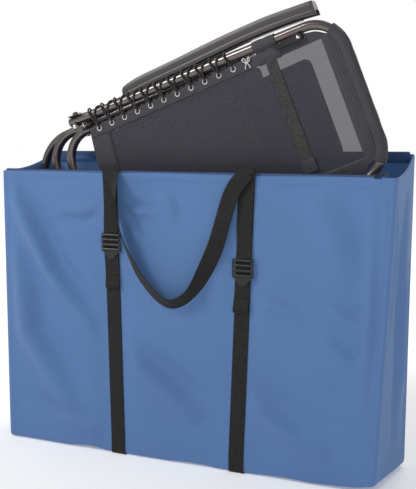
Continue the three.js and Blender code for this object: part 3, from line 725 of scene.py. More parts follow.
# ---- Zip ----
def zips():
    tape_profile = rounded_rectangle(TAPE_LOW + TAPE_HIGH, 1.1, 0.5)
    tooth_path = np.array([[-0.35, 0, -1.4], [0.1, 0, 0.4], [0.1, 0, 1.5]])
    x = np.linspace(-ZIP_REACH, ZIP_REACH, 120)
    for face, (sign, height) in PANELS.items():
        line = settled(points_of(x, sign * (HALF_Y - 2.5), height + (TAPE_HIGH - TAPE_LOW) / 2))
        line[:, 0] = x
        line[:, 1] -= sign * 1.2
        name = f"zip_tape_{face}"
        piece(f"{name}_cloth", sweep(line, tape_profile, Z_AXIS), "zip_tape", "bag", [name])
        edge = line + np.array([0, 0, (TAPE_HIGH + TAPE_LOW) / 2 - 0.4])
        teeth = []
        for at in np.arange(-ZIP_REACH + 4, ZIP_REACH - 3, 2.6):
            centre = np.array([at, np.interp(at, x, edge[:, 1]), np.interp(at, x, edge[:, 2])])
            teeth.append(sweep(centre + tooth_path, circle(1.0, 8), Y_AXIS, scale=[0.8, 1, 0.7]))
        piece(f"zip_teeth_{face}", joined(teeth), "zip_teeth", "bag")


def zip_slider():
    """The slider's two plates with their post and bail, and its pull: a wire loop and a ridged tab."""
    top = FRONT_HEIGHT + 7
    outline = [(-8, -3.1), *arc((6, 0), 3.1, -90, 90, 6), (-8, 3.1)]

    def plate(low, high, grow=1.0):
        smaller = [(a * grow, b * grow) for a, b in outline]
        return prism(smaller, low, high, lambda a, b, depth: (SLIDER_X + a, ZIP_Y + b, depth))

    post = tube([(SLIDER_X - 6, ZIP_Y, top - 3), (SLIDER_X - 6, ZIP_Y, top + 3)], 1.6, 12)
    bail_path = [(SLIDER_X + a, ZIP_Y, top + up) for a, up in ((-5, 2), (-3, 5), (2, 5.6), (5, 3.4), (5, 1.5))]
    bail = sweep(spline(bail_path, 14), rounded_rectangle(3, 1.3, 0.5), Y_AXIS)
    body = joined([plate(top - 5, top - 3.2), plate(top + 0.8, top + 3, 0.96), post, bail])
    piece("zip_slider_body", body, "black_plastic", "zip_slider", ["zip_slider"], bevel=0.4)

    level = top + 4.2
    near, far = SLIDER_X + 6.4, SLIDER_X + 24
    loop = [(near + a, ZIP_Y + b, level) for a, b in ((8, -2), (3, -1.6), (0.8, 0), (3, 1.6), (8, 2))]
    outline_of_tab = [(near + 7, -2.6), (far - 4, -3.9), *arc((far - 4, 0), 3.9, -90, 90, 8), (near + 7, 2.6)]
    tab = prism(outline_of_tab, level - 0.9, level + 0.9, lambda a, b, depth: (a, ZIP_Y + b, depth))
    ridges = [tube([(a, ZIP_Y - 2.6, level + 0.9), (a, ZIP_Y + 2.6, level + 0.9)], 0.45, 8)
              for a in np.arange(far - 12, far - 3, 2.2)]
    pull = joined([tube(spline(loop, 16), 0.8, 10), tab, *ridges])
    piece("zip_pull_tab", pull, "black_plastic", "zip_pull", ["zip_pull"], bevel=0.35)


# ---- Webbing ----
BAND = rounded_rectangle(WEBBING_WIDTH, WEBBING_THICK, 0.7)


def long_straps():
    """Each strap runs down the front, under the bag and up the back."""
    z = np.linspace(674, 8, 70)
    y = np.linspace(-HALF_Y + 6, HALF_Y - 6, 24)
    for side, strap in STRAPS.items():
        x = strap["bottom"]
        front = on_panel("front", strap_x(side, z), z, 1.0)
        back = on_panel("back", strap_x(side, z), z, 1.0)[::-1]
        corner = [(x, front[-1, 1] + 0.8, 3.2), (x, front[-1, 1] + 3.5, 1.2)]
        other = [(x, back[0, 1] - (p[1] - front[-1, 1]), p[2]) for p in corner[::-1]]
        path = np.concatenate([front, corner, points_of(x, y, 0.9), other, back])
        piece(f"{side}_strap_band", sweep(path, BAND, X_AXIS), "webbing", "bag", [f"{side}_webbing"])


def upper_straps():
    """The lengths over the long straps: a free tail, a hem folded at its end, and a sewn box near the top."""
    for side, strap in STRAPS.items():
        for face, (sign, height) in PANELS.items():
            rise = STRAP_RISE + height - FRONT_HEIGHT
            z = np.linspace(rise, strap["tail"], 60)
            lift = 2.9 + 4 * smooth((strap["tail"] + 24 - z) / 24) + 0.8 * np.sin(z / 19) ** 2
            from_buckle = np.abs(z - strap["buckle"] + 4)
            lift = lift + 1.4 * np.exp(-((from_buckle - 30) / 9) ** 2)
            path = on_panel(face, strap_x(side, z), np.minimum(z, rise - 12), lift)
            path[:, 2] = z
            path[:, 0] += 1.2 * np.sin(z / 34 + (2 if side == "left" else 0))
            name = f"{side}_{face}_strap"
            piece(f"{name}_band", sweep(path, BAND, X_AXIS), "webbing", "bag", [name])
            folded = path[-7:-1] + np.array([0, sign * 1.7, 0])
            piece(f"{name}_hem", sweep(folded, BAND, X_AXIS), "webbing", "bag")
            middle, box = rise - 36, []
            for line in crossed_box([(-12, -14), (12, -14), (12, 14), (-12, 14)]):
                zs = middle + line[:, 1]
                box.append(on_panel(face, strap_x(side, zs) + line[:, 0], zs, 3.9))
            piece(f"{name}_stitching", stitches(box, 3.2, 2.2, 0.4), "webbing", "bag", crease=38)


BUCKLE_OUT = 112.2  # the buckles' own plane, from the middle of the bag
# Each cross bar of a buckle: height from its middle, how far out, and radius.
BUCKLE_BARS = [(20.4, 0.8, 3.1), (9.6, 2.0, 2.9), (-2.2, 2.2, 2.9), (-13.4, 1.6, 3.2)]
# A cheek, and the webbing over the bars: how far out, and height.
BUCKLE_CHEEK = [(-0.6, 23.5), (0.9, 16), (1.4, 4), (0.9, -10), (0, -19)]
BUCKLE_WEBBING = [(-2.9, 20), (-1.8, 14), (-1.0, 9), (-0.8, 3), (-1.0, -3), (-1.8, -9), (-2.6, -14)]


def buckles():
    """Ladder buckles: two cheeks, four bars and a thumb tab, with the webbing over the middle bars."""
    thumb = [(-21, -14), (-20, -20), *arc((0, -21), 15, 205, 335, 12), (20, -20), (21, -14)]
    cheek, over = rounded_rectangle(5.2, 4.6, 1.6), rounded_rectangle(WEBBING_WIDTH - 1, WEBBING_THICK, 0.7)
    for side, strap in STRAPS.items():
        for face, (sign, _) in PANELS.items():
            x0, z0 = float(strap_x(side, strap["buckle"])), strap["buckle"]

            def at(a, out, up):
                return (x0 + a, sign * (BUCKLE_OUT + out), z0 + up)

            def bar(reach, out, up, radius, sides):
                return tube([at(-reach, out, up), at(reach, out, up)], radius, sides)

            cheeks = [sweep(spline([at(edge, *p) for p in BUCKLE_CHEEK], 16), cheek, X_AXIS)
                      for edge in (-22.4, 22.4)]
            bars = [bar(22.5, out, up, radius, 14) for up, out, radius in BUCKLE_BARS]
            tab = prism(thumb, -1.6, 1.4, lambda a, b, out: at(a, out + max(0, -17 - b) * 0.1, b))
            grips = [bar(9, 2.4, up, 0.7, 8) for up in (-23, -26.5, -30)]
            name = f"{side}_{face}_buckle"
            body = joined([*cheeks, *bars, tab, *grips])
            piece(f"{name}_frame", body, "black_plastic", name, [name], bevel=0.5)
            hump = sweep(spline([at(0, *p) for p in BUCKLE_WEBBING], 26), over, X_AXIS)
            piece(f"{name}_webbing", hump, "webbing", name)


# ---- Carry handles ----
HANDLE_TOP = 689
HANDLE_SPAN = [
    (STRAPS["left"]["top"], HANDLE_TOP), (-160, 650), (-147, 558), (-91, 443), (-21, 386), (30, 406), (88, 502),
    (136, 649), (STRAPS["right"]["top"], HANDLE_TOP),
]
# How far the band is turned from facing the viewer, along its length, in radians.
HANDLE_TURN = [(0, 0), (0.05, 0.15), (0.12, 1.0), (0.2, 1.16), (0.27, 1.0), (0.35, 0.74), (0.46, 0.7),
               (0.54, 0.85), (0.62, 1.1), (0.7, 0.55), (0.8, 0.1), (1, 0)]


def handles():
    """Each handle hangs between its straps, and a short fold at each end joins it to the bag."""
    t = np.linspace(0, 1, 130)
    turn = np.interp(t, *zip(*HANDLE_TURN))
    for _ in range(12):
        turn[1:-1] = (turn[:-2] + 2 * turn[1:-1] + turn[2:]) / 4
    off_bag = np.maximum(112.5 + 17 * np.sin(math.pi * t), 113.2 + 18.5 * np.sin(np.abs(turn)))
    ease = np.linspace(3, 0, 10)[:, None]
    for face, (sign, height) in PANELS.items():
        route = spline([(x, 0, z + height - FRONT_HEIGHT) for x, z in HANDLE_SPAN], len(t))
        route[:, 1] = sign * off_bag
        tangent = unit(np.gradient(route, axis=0))
        flat = unit(np.cross(tangent, (0, sign, 0)))
        across = np.cos(turn)[:, None] * flat - np.sin(turn)[:, None] * unit(np.cross(tangent, flat)) * sign
        for run, weight, end in ((slice(0, 10), ease, 0), (slice(-10, None), ease[::-1], -1)):
            level = np.array([math.copysign(1, across[end, 0]), 0, 0])
            across[run] = unit(across[run] + weight * level)
        name = f"handle_{face}"
        piece(f"{name}_band", sweep(route, BAND, across), "webbing", name, [name])
        for side, (x, y, top) in (("left", route[0]), ("right", route[-1])):
            strap_y = on_panel(face, x, FRONT_HEIGHT - 12, 2.9)[1]
            over = [(strap_y, -6), (strap_y, 4), ((strap_y + y) / 2, 7.5), (y, 4), (y, -3)]
            loop = spline([(x, out, top + up) for out, up in over], 26)
            bent = piece(f"{name}_{side}_fold", sweep(loop, BAND, X_AXIS), "webbing", None)
            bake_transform(bent)


# ---- Chair frames ----
def half_frame(settings, inset=0.0, start=0.0, steps=22):
    """The upper bend of a frame, or a line inside it, from turn start to the cross tube."""
    towards = math.copysign(1, settings["cross"] - settings["bend"][0])
    turns = np.linspace(start, math.pi / 2, steps)
    reach = settings["radius"] - inset
    u = settings["bend"][0] + towards * reach * np.sin(turns)
    v = settings["bend"][1] - settings["radius"] + reach * np.cos(turns)
    return points_of(u, settings["layer"], v)


def frame_v(settings, u):
    """Where a frame's straight rail is at u."""
    a, b = settings["open"], settings["bend"]
    return b[1] + (a[1] - b[1]) * (u - b[0]) / (a[0] - b[0])


def frames():
    for name, settings in FRAMES.items():
        opening = np.array([[settings["open"][0], settings["layer"], settings["open"][1]]])
        half = np.concatenate([opening, half_frame(settings)])
        round_bar = tube(from_chair(dense(both_sides(half), 60)), TUBE, 28)
        piece(f"{name}_tube", round_bar, "bronze_tube", settings["body"], [name])
        along = unit(half[1] - half[0])
        for end in ENDS:
            plug = tube(to_bag(np.array([half[0] - along * 1.6, half[0] + along * 3]), end), TUBE - 1.2, 24)
            piece(f"{name}_plug_{end}", plug, "black_plastic", settings["body"])


def levers(end):
    u, v, low = LEVER["u"], LEVER["v"], LEVER["w"]
    outline = [*arc((u, v), 9.5, -90, 90, 14), (u - 20, v + 6.4), (u - 46, v + 6),
               *arc((u - 54, v), 6, 110, 250, 8), (u - 46, v - 6), (u - 20, v - 6.4)]
    ribs = [tube([(a, low, v - 4), (a, low, v + 4)], 0.8, 8) for a in np.arange(u - 54, u - 34, 4)]
    boss = turned([(8, 0), (8, 1.0), (7, 1.6), (5.8, 1.6)], (u, low, v), (0, -1, 0), 28)
    body = joined([prism(outline, low, low + LEVER["thick"]), *ribs, boss])
    name = f"lock_lever_{end}"
    piece(f"{name}_body", body, "black_plastic", f"lever_{end}", [name], end, bevel=1.2)
    profile = [(0.2, 2.4), (2, 2.2), (3.4, 1.4), (4.3, 0.2), (4.4, 0), (3, 0), (3, -14)]
    rivet = turned(profile, (u, low - 1.9, v), (0, -1, 0), 28)
    piece(f"lever_rivet_{end}_turned", rivet, "steel", "back", [f"lever_rivet_{end}"], end)


def lever_tabs(end):
    u, v = LEVER["u"], LEVER["v"]
    outline = [(u - 14, v + 12), (u + 12, v + 12), *arc((u + 2, v), 10, 0, -180, 10)]
    tab = prism(outline, -44.4, -41.8)
    piece(f"lever_tab_{end}", tab, "bronze_tube", "back", end=end, crease=38, bevel=0.8)


HIP_BOLTS = {"back": "back_frame", "rear": "rear_leg_frame", "arm": None, "front": "front_leg_frame",
             "seat": "seat_frame"}
HIP_PLATE = (25.1, 28.7)  # the plate's two faces, across the chair


def hip_details(end):
    """A rivet and a small pressed bracket at the hip end of each back rail, and the bolts in the plate."""
    w = LAYER["back"] - TUBE
    dome = turned([(0.2, 3.4), (3, 3), (5.2, 1.8), (6.4, 0), (6.4, -2)], (1, w, 0), (0, -1, 0), 28)
    piece(f"hip_rivet_{end}", dome, "steel", "back", end=end)
    bracket = prism([*arc((1, 0), 9, 60, 200, 10), (6, -20), (18, -22), (20, -10)], w - 1.6, w + 0.6)
    piece(f"hip_bracket_{end}", bracket, "bronze_tube", "back", end=end, crease=38, bevel=0.7)
    for name, frame_name in HIP_BOLTS.items():
        middle, reach = (frame_v(FRAMES[frame_name], PIVOT_U), TUBE) if frame_name else (ARM_RAIL_V, 2.0)
        low, high = middle - reach, middle + reach
        top = 34.7 if name == "back" else 32.2
        profile = [(0.2, low - 3.1), (4.6, low - 2.8), (5.6, low - 1.6), (5.6, low - 0.6), (4, low - 0.6),
                   (4, high + 0.6)]
        if high + 1.6 < HIP_PLATE[0]:  # room for a spacer between the tube and the plate
            profile += [(5.4, high + 0.6), (5.4, HIP_PLATE[0]), (4, HIP_PLATE[0])]
        profile += [(4, HIP_PLATE[1]), (6.3, HIP_PLATE[1]), (6.3, top - 2), (5.6, top - 0.8), (4, top - 0.1),
                    (0.2, top)]
        bolt = turned(profile, (PIVOT_U, LAYER.get(name, 0.0), 0), Z_AXIS, 24)
        look = "black_plastic" if name == "back" else "steel"
        piece(f"hip_bolt_{name}_{end}_turned", bolt, look, "seat", [f"hip_bolt_{name}_{end}"], end)


def feet(end):
    """Ribbed sleeves on the cross tubes of the legs."""
    wall, groove = TUBE + 2.5, TUBE + 1.7
    profile = [(TUBE + 0.2, 0), (TUBE + 1.8, 0), (wall, 1)]
    for start in range(6, 38, 8):
        profile += [(wall, start), (groove, start + 0.8), (groove, start + 2), (wall, start + 2.8)]
    profile += [(wall, 43), (TUBE + 1.8, 44), (TUBE + 0.2, 44)]
    for leg, drop in (("rear", 50), ("front", 90)):
        settings = FRAMES[f"{leg}_leg_frame"]
        centre = (settings["cross"], settings["layer"], settings["bend"][1] - settings["radius"] - drop)
        name = f"{leg}_foot_{end}"
        sleeve = turned(profile, centre, Z_AXIS, 32)
        piece(f"{name}_sleeve", sleeve, "black_plastic", f"{leg}_leg", [name], end)


# ---- Slings ----
def sling_edge(u):
    return HOLE_V + SLING_EDGE - HOLE_TAPER * (u - HOLE_U)


def sling_end(kind, v):
    """Where a sling ends: the seat's at its last hole, the back's along the head bend and the head sleeve."""
    upper = np.where(v > MID_V, v, 2 * MID_V - v)
    if kind == "seat":
        return SEAT_END - 22 * smooth((upper + 48) / 24) ** 2
    settings = FRAMES["back_frame"]
    centre = settings["bend"][1] - settings["radius"]
    reach = settings["radius"] - 13.4 + 4.4 * smooth((-44 - upper) / 6)
    inside = np.sqrt(np.clip(reach**2 - (upper - centre) ** 2, 0, None))
    return settings["bend"][0] + np.where(upper > centre, inside, reach)


def sling_grid(kind, r, s, lift=0.0):
    """Points of a sling: r from hip to head, s from its upper edge to its lower one."""
    layer = LAYER[kind]
    outward = math.copysign(1, layer)
    edge = sling_edge(14 + r * (SEAT_END if kind == "seat" else 640.0))
    hip = SLING_HIP - 17 * np.sin(math.pi * s)
    u = hip + r * (sling_end(kind, edge * (1 - s) + (2 * MID_V - edge) * s) - hip)
    edge = sling_edge(u)
    v = edge * (1 - s) + (2 * MID_V - edge) * s
    near_edge = np.exp(-((np.minimum(s, 1 - s) * 340) / 26) ** 2)
    laced = smooth((HOLE_U + 10 * HOLE_PITCH + 20 - u) / 20)
    pulled = np.cos(2 * math.pi * (u - HOLE_U) / HOLE_PITCH) * near_edge * laced
    w = layer + outward * (1.2 * np.sin(math.pi * s) + 0.7 * pulled + 0.35 * ripple(u, v, 5, 34) + lift)
    return np.stack([u, w, v + np.where(s < 0.5, 1, -1) * 1.3 * pulled], axis=-1)


# Each hem: its reach from hip to head, and from the upper edge to the lower one, as shares, with its rows.
HEMS = {"upper": (1.0, (0.0, 0.075), 6), "lower": (1.0, (0.892, 1.0), 6), "hip": (0.086, (0.01, 0.99), 50)}


def sling_sheet(kind, look, columns):
    """A laced sling with a hem along each edge and at the hip."""
    name = f"{kind}_sling"

    def mesh_of(reach, stops, count, rows, lift=0.0):
        r, s = np.meshgrid(np.linspace(0, reach, count), np.linspace(*stops, rows), indexing="ij")
        return cloth_grid(sling_grid(kind, r, s, lift))

    made = piece(f"{name}_sheet", mesh_of(1, (0, 1), columns, 64), look, kind, [name], "upper", thick=1.5)
    hems, lines = [], []
    for label, (reach, stops, rows) in HEMS.items():
        at_hip = label == "hip"
        hem = mesh_of(reach, stops, 6 if at_hip else columns, rows, 1.2 if at_hip else 1.5)
        hems.append(piece(f"{name}_hem_{label}", hem, "hem", kind, end="upper", thick=1.0))
        if not at_hip:
            for at in (stops[0] + 0.006, stops[1] - 0.006):
                lines.append(from_chair(sling_grid(kind, np.linspace(0.01, 0.985, 150), np.full(150, at), 2.3)))
    sewing = piece(f"{name}_stitching", stitches(lines, 4.4, 3.0, 0.36), "dark_thread", kind)


def hole_at(i):
    return HOLE_U + i * HOLE_PITCH, HOLE_V - HOLE_TAPER * i * HOLE_PITCH


GROMMET = [(4.4, -1.9), (4.4, 2.6), (4.7, 3.2), (5.6, 3.4), (6.7, 3.1), (7.1, 2.4), (7.1, -1.5), (5.6, -1.9)]


def grommets(kind):
    axis = (0, math.copysign(1, LAYER[kind]), 0)
    for end in ENDS:
        rings = []
        for i in range(HOLES):
            u, v = hole_at(i)
            centre = (u, LAYER[kind], v if end == "upper" else 2 * MID_V - v)
            rings.append(turned(GROMMET, centre, axis, 22, hollow=True))
        piece(f"{kind}_sling_grommets_{end}", joined(rings), "steel", kind, end="upper")


# ---- Laces ----
def wound(kind, around, turns, at):
    """Points of a lace round its rail, from its turn in degrees and its place along the rail."""
    turns, at = np.radians(turns), np.asarray(at, float)
    out = math.copysign(1, LAYER[kind]) * around * np.cos(turns)
    rail = frame_v(FRAMES[f"{kind}_frame"], at)
    return points_of(at, LAYER[kind] + out, rail + around * np.sin(turns)).tolist()


def lace_path(kind):
    """The lace: through each hole and once round the rail between it and the next."""
    layer, outward, k = LAYER[kind], math.copysign(1, LAYER[kind]), np.arange(6)
    u, v = hole_at(0)
    points = [(u - 5, layer - outward * 6, v - 2), (u - 1, layer - outward * 2, v)]
    for i in range(HOLES):
        u, v = hole_at(i)
        points.append((u, layer + outward * 2.2, v))
        if i < HOLES - 1:
            points += wound(kind, TUBE + LACE_RADIUS + 0.1, -32 + 50 * k, u + HOLE_PITCH * (0.14 + 0.135 * k))
            points.append((u + HOLE_PITCH * 0.93, layer - outward * 3.6, v + 5))
    points += [(u + 2, layer - outward * 3, v), (u + 7, layer - outward * 6, v - 2)]
    return np.array(points)


def hook_path(kind, i):
    """One turn of the lace round the rail beside hole i, crossing the first."""
    layer, outward, k = LAYER[kind], math.copysign(1, LAYER[kind]), np.arange(6)
    u, v = hole_at(i)
    return np.array([
        (u + 1.5, layer + outward * 2.8, v + 2),
        *wound(kind, TUBE + LACE_RADIUS * 2.2, -30 + 48 * k, u - 4 - 11 * k / 5),
        (u - 5, layer - outward * 5, v + 8),
        (u - 1, layer - outward * 3, v + 1),
    ])


def laces():
    for kind in ("back", "seat"):
        for end in ENDS:
            parts = [tube(to_bag(spline(lace_path(kind), 900), end), LACE_RADIUS, 10)]
            for i in range(HOLES):
                parts.append(tube(to_bag(spline(hook_path(kind, i), 60), end), LACE_RADIUS, 10))
            piece(f"{kind}_lace_{end}_cord", joined(parts), "lace", kind, [f"{kind}_lace_{end}"])


def bow():
    """The tied end of the lace by the last hole: two loops and two tails."""
    knot = np.array([467.0, LAYER["back"] - 4.0, -33.0])
    routes = [
        [(0, 0, 0), (-5, -1, 5), (-7, -1.5, 11), (-2, -2, 12), (0, -1, 4), (0, 0, 0)],
        [(0, 0, 0), (5, -1, 6), (9, -1.5, 11), (11, -2, 6), (5, -1, 1), (0, 0, 0)],
        [(0, 0, 0), (-4, -1, -5), (-7, -1, -12)],
        [(0, 0, 0), (4, -1, -5), (6, -1, -13)],
    ]
    parts = [tube(from_chair(spline(knot + np.array(route, float), 26)), 1.1, 10) for route in routes]
    bead = [(0.2, 2.2), (1.8, 1.6), (2.4, 0), (1.8, -1.6), (0.2, -2.2)]
    points, faces, uv = turned(bead, knot - (0, 0.6, 0), Y_AXIS, 16)
    parts.append((from_chair(points), faces, uv))
    piece("lace_bow", joined(parts), "bow", "back")


# ---- Cloth on the back frame ----
def head_line(inset):
    """A line along the head bend, from one side of the chair to the other."""
    return dense(both_sides(half_frame(FRAMES["back_frame"], inset, math.radians(50), 24)), 5)


def head_sleeve():
    """Cloth doubled round the head tube, with the wrinkles it gathers at its seam."""
    path = head_line(0.0)
    up = np.cross(unit(np.gradient(path, axis=0)), Y_AXIS)
    length = distance(path)
    t, a = np.meshgrid(length, np.linspace(0, 2 * math.pi, 64, endpoint=False), indexing="ij")
    radius = TUBE + 2.0 + 0.4 * np.sin(8 * a + 1.6 * np.sin(t / 19) + 0.8 * np.sin(t / 7))
    radius = radius + 0.3 * ripple(t, a * 12, 17, 9)
    radius = radius + 0.9 * (np.exp(-((t / 5) ** 2)) + np.exp(-(((length[-1] - t) / 5) ** 2)))
    outward = np.cos(a)[..., None] * np.array(Y_AXIS) + np.sin(a)[..., None] * up[:, None]
    rows = path[:, None] + radius[..., None] * outward
    tunnel = cloth_grid(rows, np.stack([t, a * 12], axis=-1), around=True)
    piece("head_sleeve_round", tunnel, "sleeve", "back", end="upper", thick=-1.2)

    outer = head_line(9.5)
    inner = outer.copy()
    inner[:, 0] = HEAD_BAND_U
    inner[:, 2] = np.interp(outer[:, 2], [outer[-1, 2], outer[0, 2]], [2 * MID_V + 42, -42])
    q = np.linspace(0, 1, 40)[None, :, None]
    band = inner[:, None] * (1 - q) + outer[:, None] * q
    u, v = band[..., 0], band[..., 2]
    wrinkles = np.sin(u + 1.5 * np.sin(v / 17) + 0.8 * np.sin(v / 5.5)) + 0.6 * ripple(u * 3, v, 41, 12)
    band[..., 1] -= 2.9 + 0.7 * wrinkles * smooth((u - HEAD_BAND_U - 5) / 8)
    piece("head_sleeve_flat", cloth_grid(band), "sleeve", "back", end="upper", thick=1.2)
    v = np.linspace(-44, 2 * MID_V + 44, 90)
    lines = [from_chair(points_of(HEAD_BAND_U + off, LAYER["back"] - 3.6, v)) for off in (1.6, 5.0)]
    piece("head_sleeve_stitching", stitches(lines, 4.2, 2.9, 0.36), "dark_thread", "back")


def rail_tabs(end):
    """A loop of cloth round each rail, sewn to the sling below it."""
    low, high = RAIL_TAB
    w = LAYER["back"]
    turns = np.radians(np.linspace(-75, 250, 34))
    rows = []
    for u in np.linspace(low, high, 26):
        crease = 0.35 * math.sin(u / 4.2)
        reach = TUBE + 1.5 + crease
        loop = points_of(u, w - reach * np.cos(turns), rail_v(u) + reach * np.sin(turns))
        rows.append([(u, w - 2.4, -52.0), (u, w - 3.0 - crease, -32.0), *loop, (u, w + 1.8, -32.0),
                     (u, w + 1.8, -50.0)])
    piece(f"rail_tab_{end}", cloth_grid(rows), "sleeve", "back", end=end, thick=0.9)
    lines = [to_bag(dense([(low + 4, w - 3.4, v), (high - 4, w - 3.4, v)], 4), end) for v in (-47, -34)]
    piece(f"rail_tab_stitching_{end}", stitches(lines, 4.2, 2.9, 0.36), "dark_thread", "back")


def pillow_band():
    """The elastic that holds the pillow, with a patch sewn over its lower end by a crossed box."""
    w = LAYER["back"] - 3.4
    along = from_chair(X_AXIS) - from_chair((0, 0, 0))

    def strip(points, step, width):
        return sweep(from_chair(dense(points, step)), rounded_rectangle(width, 1.2, 0.5), along)

    band = strip([(522, w + 0.6, -46), (522, w, -110), (522.5, w - 0.4, -200), (523, w, -309)], 8, 27)
    piece("pillow_band_elastic", band, "elastic", "back", ["pillow_band"])
    patch = strip([(522, w - 1.2, -279), (521.5, w - 1.4, -312)], 4, 36)
    piece("pillow_band_patch", patch, "hem", "back")
    box = crossed_box([(u, w - 2.1, v) for u, v in ((509, -283), (535, -283), (534, -308), (509, -308))])
    sewing = stitches([from_chair(line) for line in box], 3.6, 2.5, 0.4)
    piece("pillow_band_stitching", sewing, "dark_thread", "back")


# ---- Head pillow ----
def blown_up(made, rest, seam_depth):
    """The points of a block once it is filled as cloth, held along its seam. A quick build swells it evenly."""
    pinned = made.vertex_groups.new(name="seam")
    pinned.add(np.flatnonzero(np.abs(rest[:, 1] / MM - seam_depth) < 6).tolist(), 1.0, "REPLACE")
    cloth = made.modifiers.new("fill", "CLOTH")
    cloth.settings.vertex_group_mass = pinned.name
    cloth.settings.quality = 4
    cloth.settings.use_pressure = True
    cloth.settings.uniform_pressure_force = 4.0
    cloth.settings.effector_weights.gravity = 0
    for step in range(1, 21):
        scene.frame_set(step)
    evaluated = made.evaluated_get(bpy.context.evaluated_depsgraph_get())
    moved = np.array([v.co for v in evaluated.data.vertices])
    made.modifiers.remove(cloth)
    scene.frame_set(1)
    return moved


def pillow():
    """A stuffed pad: a rounded block blown up as cloth, flat where the slings press it, with a piped seam."""
    (u0, u1), (v0, v1), (w0, w1) = PILLOW["u"], PILLOW["v"], PILLOW["w"]
    corner, back_by = PILLOW["corner"], PILLOW["corner"] + PILLOW["inset"]
    outline = []
    for cu, cv, start in ((u1, v1, 0), (u0, v1, 90), (u0, v0, 180), (u1, v0, 270)):
        centre = (cu + (-back_by if cu == u1 else back_by), cv + (-back_by if cv == v1 else back_by))
        outline += arc(centre, corner, start, start + 90, 6)
    middle = (w0 + w1) / 2
    made = piece("pillow_pad", prism(outline, w0 + 9, w1 - 9), "pillow", None, end="upper")
    bpy.context.view_layer.objects.active = made
    add_modifier(made, "even", "REMESH", mode="VOXEL", voxel_size=0.005)
    bpy.ops.object.modifier_apply(modifier="even")
    rest = np.array([v.co for v in made.data.vertices])
    push = blown_up(made, rest, middle) - rest
    far = np.linalg.norm(push, axis=1, keepdims=True)
    points = (rest + push * np.minimum(1, 0.012 / np.maximum(far, 1e-9))) / MM
    points[:, 1] = np.clip(points[:, 1], w0 - 0.8, w1 + 0.8)
    made.data.vertices.foreach_set("co", (points * MM).ravel())
    made.data.shade_smooth()
    add_modifier(made, "softer", "SUBSURF", levels=1, render_levels=1)
    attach(made, "pillow")
    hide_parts("headrest_pillow")

    centre_u, centre_v = (u0 + u1) / 2, (v0 + v1) / 2
    seam = [(centre_u + (a - centre_u) * 1.014, middle, centre_v + (b - centre_v) * 1.011)
            for a, b in outline + outline[:1]]
    piping = sweep(from_chair(dense(seam, 5)), circle(1.6, 8))
    piece("pillow_piping", piping, "hem", "pillow", crease=38)


# ---- Armrests ----
ARM_TOP = [(133, 33), (139, 46), (158, 51), (187, 54), (237, 54), (303, 54), (369, 55), (422, 55), (473, 54),
           (531, 52), (584, 47), (640, 41)]
ARM_UNDER = [(133, 24), (150, 22), (246, 23), (331, 22), (397, 22), (448, 22), (496, 21), (550, 18), (608, 13),
             (647, 7)]
# One side of the section, as shares of the half width and of the height, and the hollow below it.
ARM_SIDE = [(0.97, 0.0), (1.0, 0.1), (1.0, 0.3), (0.965, 0.33), (1.0, 0.36), (1.0, 0.62), (0.97, 0.8),
            (0.88, 0.91), (0.6, 0.98), (0.3, 1.0)]
ARM_HOLLOW = [(0.86, 0.0), (0.82, 0.3), (0.4, 0.34)]
# The stations near its two ends: place along the arm, share of the half width, and the top's height if set.
ARM_HIP_END = [(133, 0.72), (134.5, 0.84), (137, 0.93), (141, 0.98), (147, 1)]
ARM_HEAD_END = [(636, 1, 41.6), (641, 0.99, 41), (644, 0.97, 40.4), (645.6, 0.92, 39)]


def armrests(end):
    u, width = np.array([*ARM_HIP_END, *[(at, 1) for at in np.linspace(158, 628, 60)],
                         *[station[:2] for station in ARM_HEAD_END]]).T
    top_line, under_line = spline(ARM_TOP, 200), spline(ARM_UNDER, 200)
    top, under = np.interp(u, *top_line.T), np.interp(u, *under_line.T)
    top[-len(ARM_HEAD_END):] = [station[2] for station in ARM_HEAD_END]
    left = [(-a, b) for a, b in ARM_SIDE]
    hollow_left = [(-a, b) for a, b in ARM_HOLLOW[::-1]]
    section = np.array([*left, (0, 1.0), *ARM_SIDE[::-1], *ARM_HOLLOW, (0, 0.34), *hollow_left])
    rows = points_of(u[:, None], ARM_HALF * width[:, None] * section[:, 0],
                     under[:, None] + (top - under)[:, None] * section[:, 1])
    faces = grid_faces(len(u), len(section), around=True, caps=True)
    moulding = rows.reshape(-1, 3), faces, rows[..., [0, 1]]
    piece(f"armrest_{end}_moulding", moulding, "arm_plastic", "arms", [f"armrest_{end}"], end)

    rail = [(-3, 0, ARM_RAIL_V), (60, 0, ARM_RAIL_V), (122, 0, ARM_RAIL_V)]
    rail += [(a, 0, b - 2.3) for a, b in ARM_UNDER[1:-1]]
    bar = sweep(spline(rail, 120), rounded_rectangle(16, 4, 1.4), Y_AXIS)
    piece(f"arm_rail_{end}_bar", bar, "bronze_tube", "arms", [f"arm_rail_{end}"], end)


def kept_nodes():
    """CAD nodes whose shape is right keep it, with rounded edges and a better finish."""
    for name, look, width in (("hip_plate", "bronze_tube", 0.8), ("arm_stop", "black_plastic", 0.7)):
        for end in ENDS:
            kept = bpy.data.objects[f"{name}_{end}"]
            kept.data.materials.clear()
            kept.data.materials.append(LOOK[look][0])
            add_modifier(kept, "rounding", "BEVEL", width=width * MM, segments=3, limit_method="ANGLE")


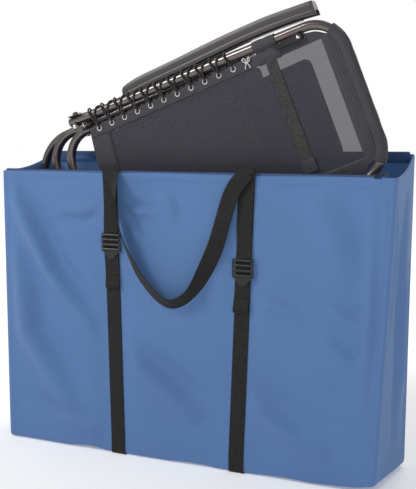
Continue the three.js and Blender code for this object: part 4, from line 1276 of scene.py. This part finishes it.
# ---- Studio ----
LAMPS = {  # place and size in metres, and power in watts
    "key": ((-2.1, -2.2, 2.8), 1.1, 74),
    "fill": ((2.2, -2.2, 1.0), 1.8, 9),
    "rim": ((0.6, 2.4, 2.6), 1.6, 34),
}
AIM = (0, 0, 0.55)


def studio():
    """A white floor that brightens away from the bag, a white world, and three soft lamps."""
    mesh = bpy.data.meshes.new("floor")
    mesh.from_pydata([(-60, -60, 0), (60, -60, 0), (60, 60, 0), (-60, 60, 0)], [], [(0, 1, 2, 3)])
    floor = bpy.data.objects.new("floor", mesh)
    floor_look, tree, shader = surface(
        "floor_look", {"Roughness": 0.9, "Base Color": (0.94, 0.94, 0.94, 1), "Emission Color": (1, 1, 1, 1)}
    )
    away = node(tree, "VectorMath", {0: coordinate(tree, "Object")}, operation="LENGTH").outputs["Value"]
    tree.links.new(remap(tree, away, 0.2, 0.6, 0.8, 3.5), shader.inputs["Emission Strength"])
    mesh.materials.append(floor_look)
    scene.collection.objects.link(floor)

    world = bpy.data.worlds.new("studio")
    scene.world = world
    world.use_nodes = True
    background = world.node_tree.nodes["Background"]
    background.inputs["Color"].default_value = (1, 1, 1, 1)
    seen = node(world.node_tree, "LightPath").outputs["Is Camera Ray"]
    world.node_tree.links.new(remap(world.node_tree, seen, 0.42, 1.0), background.inputs["Strength"])

    for name, (place, size, power) in LAMPS.items():
        data = bpy.data.lights.new(name, "AREA")
        data.size, data.energy = size, power
        lamp = bpy.data.objects.new(name, data)
        lamp.location = place
        x, y, z = np.array(AIM) - np.array(place)
        lamp.rotation_euler = (math.atan2(math.hypot(x, y), -z), 0, math.atan2(x, -y) + math.pi)
        scene.collection.objects.link(lamp)
    scene.view_settings.view_transform = "Standard"


bag_shell()
bag_stitching()
zips()
zip_slider()
long_straps()
upper_straps()
buckles()
handles()
frames()
for make in (lever_tabs, levers, hip_details, feet):
    for end in ENDS:
        make(end)
sling_sheet("back", "sling", 120)
sling_sheet("seat", "sling_seat", 80)
grommets("back")
grommets("seat")
laces()
bow()
head_sleeve()
for end in ENDS:
    rail_tabs(end)
pillow_band()
pillow()
for end in ENDS:
    armrests(end)
kept_nodes()
studio()
